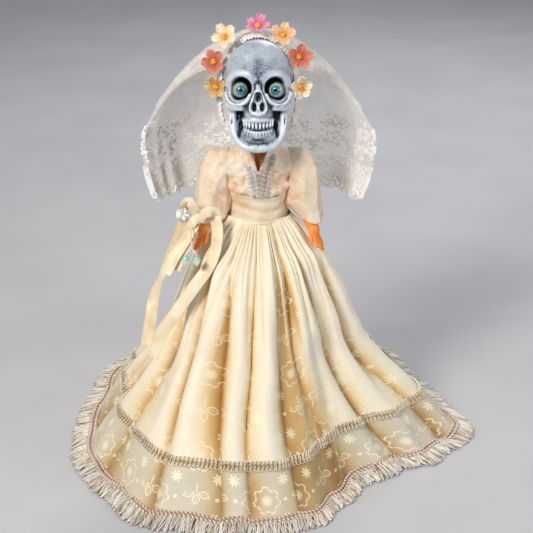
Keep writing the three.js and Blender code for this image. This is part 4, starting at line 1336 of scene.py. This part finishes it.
class Gown:
    """The gown's surface: down runs from 0 at the waist to 1 at the hem, and bearing goes round it."""

    def __init__(self):
        heights = np.array([z for z, _ in SKIRT_PROFILE], float)
        shares = np.array([s for _, s in SKIRT_PROFILE], float)
        step = np.concatenate([[0], np.cumsum(np.hypot(np.diff(heights), np.diff(shares) * 95))])
        even = np.linspace(0, step[-1], 161)
        self.down = even / step[-1]
        self.z = smoothed(np.interp(even, step, heights), 24)
        self.share = smoothed(np.interp(even, step, shares), 24)
        self.length = step[-1]

    def at(self, down, bearing, offset=0.0, plain=False):
        """Points of the cloth, how deep in a fold each lies, and its place on the flat cloth."""
        bearing = np.asarray(bearing, float)
        angle = np.radians(bearing)
        z = np.interp(down, self.down, self.z)
        share = np.interp(down, self.down, self.share)
        share = share * side_tuck(bearing, z)
        waist = 18.2 + (13.8 - 18.2) * np.cos(angle) ** 2
        hem = hem_radius(bearing) - FRINGE_LENGTH - HEM_BRAID_WIDTH - 1.2
        radius = waist + (hem - waist) * share
        tilt_z = np.gradient(self.z, self.down)
        tilt_r = np.gradient(self.share, self.down) * 95
        size = np.hypot(tilt_z, tilt_r)
        out_r = np.interp(down, self.down, -tilt_z / size)
        out_z = np.interp(down, self.down, tilt_r / size)
        # Room at the hip for the left hand as its arm swings back.
        radius = radius - 4.5 * np.exp(-(((bearing - 106) / 24) ** 2) - ((z - 120) / 11) ** 2)
        lift, depth, panel, u = self.folds(down, bearing, radius)
        if plain:
            lift = lift * 0.55
        out = lift + offset
        radius = radius + out_r * out
        z = np.maximum(z + out_z * out, 0.5 + 0 * out)
        points = np.stack([radius * np.sin(angle), -radius * np.cos(angle), z], -1)
        return points, depth, panel, np.stack(np.broadcast_arrays(u, down * self.length), -1)

    def folds(self, down, bearing, radius):
        down, bearing, radius = np.broadcast_arrays(down, bearing, radius)
        turn = (bearing + 180) / 360
        top = np.array([f[0] for f in FOLDS], float)
        middle = np.array([f[1] for f in FOLDS], float)
        low = np.array([f[2] for f in FOLDS], float)
        near = eased(down * 2)
        far = eased(down * 2 - 1)
        lift = np.zeros(down.shape)
        depth = np.zeros(down.shape)
        panel = np.zeros(down.shape, int)
        u = np.zeros(down.shape)
        drift = 2.2 * wander(turn, down, 14, 4, 21)
        at = bearing + drift * eased((180 - np.abs(bearing)) / 12)
        for i in range(len(FOLDS) - 1):
            start = (top[i] + (middle[i] - top[i]) * near) + (low[i] - middle[i]) * far
            stop = (top[i + 1] + (middle[i + 1] - top[i + 1]) * near) + (low[i + 1] - middle[i + 1]) * far
            inside = (at >= start) & (at <= stop)
            x = np.clip((at - start) / (stop - start), 0, 1)
            lean = 0.18 * math.sin(i * 2.3)
            skewed = np.clip(x + lean * np.sin(math.pi * x), 0, 1)
            bump = np.sin(math.pi * skewed) ** 0.66
            lift = np.where(inside, FOLDS[i][3] * 1.3 * bump, lift)
            depth = np.where(inside, 1 - bump * min(1.0, 0.35 + FOLDS[i][3] / 7), depth)
            panel = np.where(inside, i, panel)
            centre = (start + stop) / 2
            u = np.where(inside, i * 57.0 + np.radians(at - centre) * radius, u)
        grown = eased(down / 0.42) * (1 - 0.55 * eased((down - 0.62) / 0.38))
        lift = lift * grown
        # Fine gathers below the waistband, which merge in pairs on the way down.
        phase = turn * 62 + 0.8 * wander(turn, down * 0.5, 30, 3, 5) + 0.3 * wander(turn, down, 62, 2, 9)
        fine = 1 - 2 * np.abs(np.sin(math.pi * phase)) ** 0.7
        broad = 1 - 2 * np.abs(np.sin(math.pi * phase / 2 + 0.4)) ** 0.8
        fine_share = (0.25 + 0.75 * eased(down / 0.05)) * (1 - eased((down - 0.1) / 0.3))
        broad_share = eased(down / 0.12) * (1 - eased((down - 0.28) / 0.4))
        lift = lift - 0.95 * fine * fine_share - 0.9 * broad * broad_share
        depth = depth * (0.25 + 0.75 * eased(down / 0.3)) + 0.32 * fine * fine_share + 0.3 * broad * broad_share
        # Long soft creases, and ripples where the train lies on the floor.
        creases = 1 - 2 * np.abs(wander(turn, down, 46, 3, 31))
        lift = lift + 1.1 * creases * eased((down - 0.1) / 0.3)
        cross = wander(turn, down, 26, 9, 12)
        lift = lift + 1.0 * cross * eased((down - 0.3) / 0.2)
        return lift, np.clip(depth - 0.16 * creases, 0, 1), panel, u


GOWN = Gown()


def gown_down(height):
    """How far down the cloth a height is."""
    return float(np.interp(-height, -GOWN.z, GOWN.down))


def skirt():
    down = np.linspace(0, 1, ROWS)[:, None]
    bearing = np.linspace(-180, 180, GOWN_COLUMNS, endpoint=False)[None]
    points, depth, panel, uv = GOWN.at(down, bearing)
    faces, corners = grid_faces(ROWS, GOWN_COLUMNS, wrap=True)
    rows, columns = corners[:, :, 0], corners[:, :, 1] % GOWN_COLUMNS
    corner_uv = uv[rows, columns]
    # Where a face crosses a valley, all its corners take the place of its first one's panel.
    crossing = (panel[rows, columns] != panel[rows, columns][:, :1]).any(1)
    corner_uv[crossing, :, 0] = corner_uv[crossing, :1, 0]
    thin = np.broadcast_to(eased((down - gown_down(SKIRT_BRAID_Z + 3)) / 0.05), depth.shape)
    # How deep each point lies in a fold is passed on to colour the brocade with painted shade.
    made = piece("skirt", points.reshape(-1, 3), faces, BROCADE, {"painted_fold_shade": depth, "thin": thin}, corner_uv)
    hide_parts("skirt")
    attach(made, "body")
    return made


def petticoat():
    down = np.linspace(0.01, gown_down(SKIRT_BRAID_Z + 6), 90)[:, None]
    bearing = np.linspace(-180, 180, 540, endpoint=False)[None]
    points, _, _, uv = GOWN.at(down, bearing, offset=-2.6, plain=True)
    made = grid_piece("petticoat", points, LINING, uv=uv, wrap=True)
    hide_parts("petticoat")
    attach(made, "body")


def around_gown(down, offset, count, across=0.0):
    """A closed line of points round the gown at one place down the cloth, with the ways up and out of it."""
    bearing = np.linspace(-180, 180, count, endpoint=False)
    low = GOWN.at(np.full(count, down), bearing, offset)[0]
    lower = GOWN.at(np.full(count, min(down + 0.01, 1.0)), bearing, offset)[0]
    upper = GOWN.at(np.full(count, down - 0.01), bearing, offset)[0]
    up = upper - lower
    up /= np.linalg.norm(up, axis=1, keepdims=True)
    ahead = np.roll(low, -1, 0) - np.roll(low, 1, 0)
    ahead /= np.linalg.norm(ahead, axis=1, keepdims=True)
    return low + up * across, ahead, up, np.cross(up, ahead)


def even_count(line, pitch):
    return max(8, int(round(path_length(np.concatenate([line, line[:1]])) / pitch)))


def resample(line, *others, count):
    """The closed line and what goes with it, at evenly spaced places."""
    closed = np.concatenate([line, line[:1]])
    length = np.concatenate([[0], np.cumsum(np.linalg.norm(np.diff(closed, axis=0), axis=1))])
    at = np.linspace(0, length[-1], count, endpoint=False)
    out = []
    for item in (line, *others):
        item = np.concatenate([item, item[:1]])
        out.append(np.stack([np.interp(at, length, item[:, k]) for k in range(3)], 1))
    return out


def looped_row(threads, frame_of, across, pitch, reach, radius, shade, flip=1, lift=0.0):
    """One row of thread loops along a closed line."""
    line, ahead, up, out = frame_of
    loops = even_count(line, pitch)
    count = loops * 10
    line, ahead, up, out = resample(line, ahead, up, out, count=count)
    turn = np.arange(count) / 10 * 2 * math.pi
    sway = 0.15 * np.sin(np.arange(count) * 0.171)
    path = (line + up * (across + flip * reach * np.cos(turn) + sway)[:, None]
            + ahead * (pitch * 0.42 * np.sin(turn))[:, None]
            + out * (lift + 0.35 * np.sin(turn * 2 + 0.5))[:, None])
    threads.tube(path, radius, 4, shade, closed=True)


def twisted_cord(threads, frame_of, across, lift, pitch, reach, radius, shades):
    """Strands twisted round each other along a closed line."""
    line, ahead, up, out = frame_of
    turns = even_count(line, pitch)
    count = turns * 8
    line, up, out = resample(line, up, out, count=count)
    for strand, shade in enumerate(shades):
        turn = np.arange(count) / 8 * 2 * math.pi + strand * 2 * math.pi / len(shades)
        path = line + up * (across + reach * np.cos(turn))[:, None] + out * (lift + reach * np.sin(turn))[:, None]
        threads.tube(path, radius, 4, shade, closed=True)


def skirt_braid():
    """Looped gimp round the gown above its sheer foot: two scalloped rows and a gold cord between."""
    threads = Bundle()
    frame_of = around_gown(gown_down(SKIRT_BRAID_Z), 0.9, 900)
    looped_row(threads, frame_of, 1.5, 2.3, 1.35, 0.3, 0.75)
    looped_row(threads, frame_of, -1.5, 2.3, 1.35, 0.3, 0.62, flip=-1)
    looped_row(threads, frame_of, 0.0, 1.7, 0.8, 0.26, 0.3, lift=0.3)
    twisted_cord(threads, frame_of, 0.0, 0.7, 1.8, 0.35, 0.3, (0.2, 0.45))
    made = threads.build("skirt_braid", GIMP)
    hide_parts("skirt_braid")
    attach(made, "body")
    return made


def hem_line(inwards, height, count=1000):
    """A closed line near the floor, measured inwards from the fringe's ends, which rises with the folds."""
    bearing = np.linspace(-180, 180, count, endpoint=False)
    edge = GOWN.at(np.full(count, 1.0), bearing)[0]
    angle = np.radians(bearing)
    radius = hem_radius(bearing) - inwards
    line = np.stack([radius * np.sin(angle), -radius * np.cos(angle), np.maximum(edge[:, 2] + height, 0.7)], 1)
    inner = edge - line
    inner[:, 2] = 0
    up = inner / (np.linalg.norm(inner, axis=1, keepdims=True) + 1e-9)
    ahead = np.roll(line, -1, 0) - np.roll(line, 1, 0)
    ahead /= np.linalg.norm(ahead, axis=1, keepdims=True)
    out = np.broadcast_to(np.array([0.0, 0.0, 1.0]), line.shape)
    return line, ahead, up, out


def hem_braid():
    """Two rows of twisted cord and a row of loops, sewn over the edge of the cloth."""
    threads = Bundle()
    frame_of = hem_line(FRINGE_LENGTH + HEM_BRAID_WIDTH / 2 + 0.4, 0.3)
    twisted_cord(threads, frame_of, 1.5, 0.5, 2.4, 0.55, 0.55, (0.35, 0.8))
    twisted_cord(threads, frame_of, -1.3, 0.4, 2.4, 0.55, 0.55, (0.3, 0.9))
    looped_row(threads, frame_of, 0.1, 1.9, 2.4, 0.28, 0.62)
    made = threads.build("hem_braid", ROSE_BRAID)
    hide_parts("hem_braid")
    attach(made, "body")
    return made


def hem_fringe():
    """Looped twisted threads that lie on the floor round the hem."""
    random = np.random.default_rng(17)
    threads = Bundle()
    line, ahead, up, _ = hem_line(FRINGE_LENGTH + 0.6, 0.2)
    count = even_count(line, 0.95)
    line, ahead, up = resample(line, ahead, up, count=count)
    share = np.linspace(0, 1, 11)[:, None]
    for i in range(count):
        length = FRINGE_LENGTH * random.uniform(0.82, 1.12)
        lean = random.normal(0, 1.3)
        gap = random.uniform(0.5, 1.0)
        layer = random.uniform(0, 1.5)
        hairpin = np.sin(share * math.pi) ** 0.55
        spread = (share - 0.5) * 2 * gap
        wiggle = 0.35 * np.sin(share * random.uniform(7, 13) + random.uniform(0, 6))
        path = (line[i] - up[i] * (length * hairpin) + ahead[i] * (spread + lean * hairpin + wiggle))
        path[:, 2] = np.maximum(line[i, 2] + layer * 0.6 - (line[i, 2] - 0.5) * hairpin[:, 0] ** 1.3,
                                0.4 + layer * 0.7 * hairpin[:, 0])
        threads.tube(path, random.uniform(0.24, 0.36), 4, random.uniform(0.25, 0.95))
    made = threads.build("hem_fringe", FRINGE)
    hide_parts("hem_fringe")
    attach(made, "body")
    return made


# ---- Veil ----

VEIL_REACH = math.radians(97)
VEIL_HALF_WIDTH = 67
VEIL_BACK_Y = 40
VEIL_SIDE_Y = 10


def veil_edge(along, half_width, z):
    angle = along * VEIL_REACH
    depth = VEIL_SIDE_Y + (VEIL_BACK_Y - VEIL_SIDE_Y) * np.maximum(0, np.cos(angle))
    return np.stack(np.broadcast_arrays(half_width * np.sin(angle), depth, z), -1)


def veil_at(along, down, lift=0.0):
    """A point of the net: along is -1 at the doll's right edge and 1 at its left, down is 0 at the crown."""
    along, down = np.broadcast_arrays(np.asarray(along, float), np.asarray(down, float))
    fall = down / 0.62
    start = np.stack([23 * np.sin(along * 1.2), 17 - 4 * np.abs(along), HEAD_Z - 2 + 33.5 * np.cos(along * 1.2)], -1)
    split = veil_edge(along, VEIL_HALF_WIDTH - 4, VEIL_SPLIT_Z - 3.0 + 0 * along)
    bend = np.stack([split[..., 0] * 0.72, split[..., 1] + 4, start[..., 2] + 1], -1)
    t = np.clip(fall, 0, 1)[..., None]
    upper = start * (1 - t) ** 2 + bend * (2 * t * (1 - t)) + split * t**2
    hem = veil_edge(along, VEIL_HALF_WIDTH - 11, VEIL_HEM_Z + 0 * along)
    s = np.clip((down - 0.62) / 0.38, 0, 1)[..., None]
    bulge = 12 * s * (1 - s)
    lower = split + (hem - split) * s
    lower[..., 0] += along * bulge[..., 0]
    points = np.where(down[..., None] < 0.62, upper, lower)
    # Gathers fan out from the crown, and the net falls in soft waves at its edge.
    angle = along * VEIL_REACH
    outwards = np.stack([np.sin(angle), np.maximum(np.cos(angle), 0.2), 0.25 * (1 - down)], -1)
    gathers = 0.8 * np.sin(along * 46 + 2 * np.sin(along * 7)) * (1 - 0.6 * down)
    waves = 2.6 * np.sin(along * 13 + 1.1) * eased((down - 0.2) / 0.6)
    ripple = 0.9 * np.sin(along * 31 + down * 5) * eased((down - 0.4) / 0.5)
    return points + outwards * (gathers * eased(down / 0.08) + waves + ripple + lift)[..., None]


def veil_sheet(name, low_down, finish, lift, scallop):
    columns, rows = 361, 130
    along = np.linspace(-1, 1, columns)[None]
    down = np.linspace(0, low_down, rows)[:, None]
    down = down * (1 - scallop * (1 - np.abs(np.sin(along * 24))) * (down / low_down) ** 12)
    points = veil_at(along, down, lift)
    uv = np.stack(np.broadcast_arrays(along * 118 * (0.35 + 0.65 * down), down * 132), -1)
    return grid_piece(name, points, finish, uv=uv)


def blend_veil(made):
    """Bakes the piece's place into its mesh."""
    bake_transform(made)


def embroidery():
    """Tendrils, five-petal flowers and a scalloped border, sewn on the net in thread."""
    threads = Bundle()

    def stitch(along, down, radius=0.3, shade=0.7):
        threads.tube(veil_at(np.asarray(along), np.asarray(down), 0.45), radius * 1.4, 4, shade)

    def circle(at, reach, radius=0.3, lobes=0, shade=0.75):
        turn = np.linspace(0, 2 * math.pi, 33)
        size = reach * (1 + (0.3 * np.cos(turn * lobes) if lobes else 0))
        stitch(at[0] + size * np.cos(turn) / 95, at[1] + size * np.sin(turn) / 132, radius, shade)

    def sprig(at, size, heading, hand):
        share = np.linspace(0, 1, 30)
        curl = heading + hand * 2.6 * share**1.5
        x = np.cumsum(np.cos(curl)) / 30 * size
        y = np.cumsum(np.sin(curl)) / 30 * size
        stitch(at[0] + x / 95, at[1] + y / 132, 0.32)
        for k in range(3, 30, 5):
            side = 1 if k % 2 else -1
            knot = (at[0] + (x[k] + side * 1.9 * math.sin(curl[k])) / 95,
                    at[1] + (y[k] - side * 1.9 * math.cos(curl[k])) / 132)
            circle(knot, 0.75, 0.34)

    count = 27
    scallops = np.linspace(-1, 1, count * 12)
    for level, reach, radius in ((0.985, 0.04, 0.5), (0.955, 0.034, 0.32), (0.865, 0.03, 0.32), (0.84, 0.03, 0.3)):
        wave = reach * np.abs(np.sin(np.linspace(0, math.pi * count, len(scallops))))
        stitch(scallops, level + wave - reach, radius, 0.8)
    for i in range(count * 5):
        along = -1 + 2 * (i + 0.5) / (count * 5)
        rise = 0.032 * (1 - abs(math.sin(math.pi * (i + 0.5) / 5)))
        stitch(np.full(6, along), np.linspace(0.868, 0.95, 6) - rise, 0.34, 0.75)
    for i in range(count):
        along = -1 + 2 * (i + 0.5) / count
        circle((along, 0.825), 0.7, 0.32)
    random = np.random.default_rng(5)
    for i in range(9):
        along = -0.9 + 1.8 * i / 8
        level = 0.715 + 0.02 * (i % 2)
        circle((along, level), 4.2, 0.4, lobes=5)
        circle((along, level), 1.1, 0.4)
        for hand in (-1, 1):
            sprig((along + hand * 0.035, level + 0.01), 15, -math.pi / 2 + hand * 1.25, hand)
            sprig((along + hand * 0.05, level - 0.04), 12, -math.pi / 2 + hand * 0.5, -hand)
        if i % 2 == 0:
            sprig((along, level - 0.05), 17, -math.pi / 2 + 0.2, random.choice([-1, 1]))
    return threads.build("veil_embroidery", EMBROIDERY)


def veil():
    net = veil_sheet("veil_net", 1.0, NET, 0.0, 0.02)
    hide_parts("veil_upper", "veil_lower")
    blend_veil(net)
    tier = veil_sheet("veil_upper_tier", 0.5, NET, 1.2, 0.03)
    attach(tier, "head")
    thread = embroidery()
    blend_veil(thread)


# ---- Pieces that keep the CAD model's shape ----


def dress_cad_nodes():
    finishes = {
        "body_front_shell": SHELL, "body_back_shell": SHELL, "neck_plug": SHELL, "stringing_elastic": ELASTIC,
        "head_hook": WIRE, "right_arm_hook": WIRE, "left_arm_hook": WIRE,
    }
    for name, finish in finishes.items():
        node = bpy.data.objects[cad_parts[name].name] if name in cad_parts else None
        node.data.materials.clear()
        node.data.materials.append(finish)


# ---- Floor and lights ----


def floor():
    size = 3.0
    mesh = bpy.data.meshes.new("floor")
    mesh.from_pydata([(-size, -size, 0), (size, -size, 0), (size, size, 0), (-size, size, 0)], [], [(0, 1, 2, 3)])
    mesh.materials.append(floor_finish())
    made = bpy.data.objects.new("floor", mesh)
    bpy.context.scene.collection.objects.link(made)


def area_light(name, place, aim, size, power, colour=(1, 1, 1)):
    data = bpy.data.lights.new(name, "AREA")
    data.shape = "DISK"
    data.size = size
    data.energy = power
    data.color = colour
    made = bpy.data.objects.new(name, data)
    made.location = place
    made.rotation_euler = (Vector(aim) - Vector(place)).to_track_quat("-Z", "Y").to_euler()
    bpy.context.scene.collection.objects.link(made)


def lights():
    area_light("key", (-0.5, -0.6, 0.8), (0, 0, 0.12), 0.3, 8.6, (1.0, 0.95, 0.88))
    area_light("fill", (0.75, -0.5, 0.45), (0, 0, 0.12), 0.5, 2.8, (0.94, 0.97, 1.0))
    area_light("rim", (0.2, 0.8, 0.8), (0, 0, 0.15), 0.5, 5)
    world = bpy.data.worlds.new("studio")
    world.use_nodes = True
    background = world.node_tree.nodes["Background"]
    background.inputs["Color"].default_value = (0.5, 0.52, 0.56, 1)
    background.inputs["Strength"].default_value = 0.42
    bpy.context.scene.world = world
    bpy.context.scene.view_settings.view_transform = "Standard"


# ---- Assembly ----

place_camera()
free_ribbons()
folded_tail_piece, folded_tail_line = folded_tail()
hang_from_wrist(folded_tail_piece)
bow()
lace_frill()
buds()
skull()
eyes()
headband()
for number, (at, faces_way, size, paper) in enumerate(FLOWERS, 1):
    flower(number, at, faces_way, size, paper)
arm(-1, "right")
arm(1, "left")
bodice()
sleeve(-1, "right")
sleeve(1, "left")
waistband()
neckline_braid()
snaps()
gown = skirt()
petticoat()
gown_trims = [skirt_braid(), hem_braid(), hem_fringe()]
veil()
dress_cad_nodes()
floor()
lights()

bpy.context.view_layer.update()
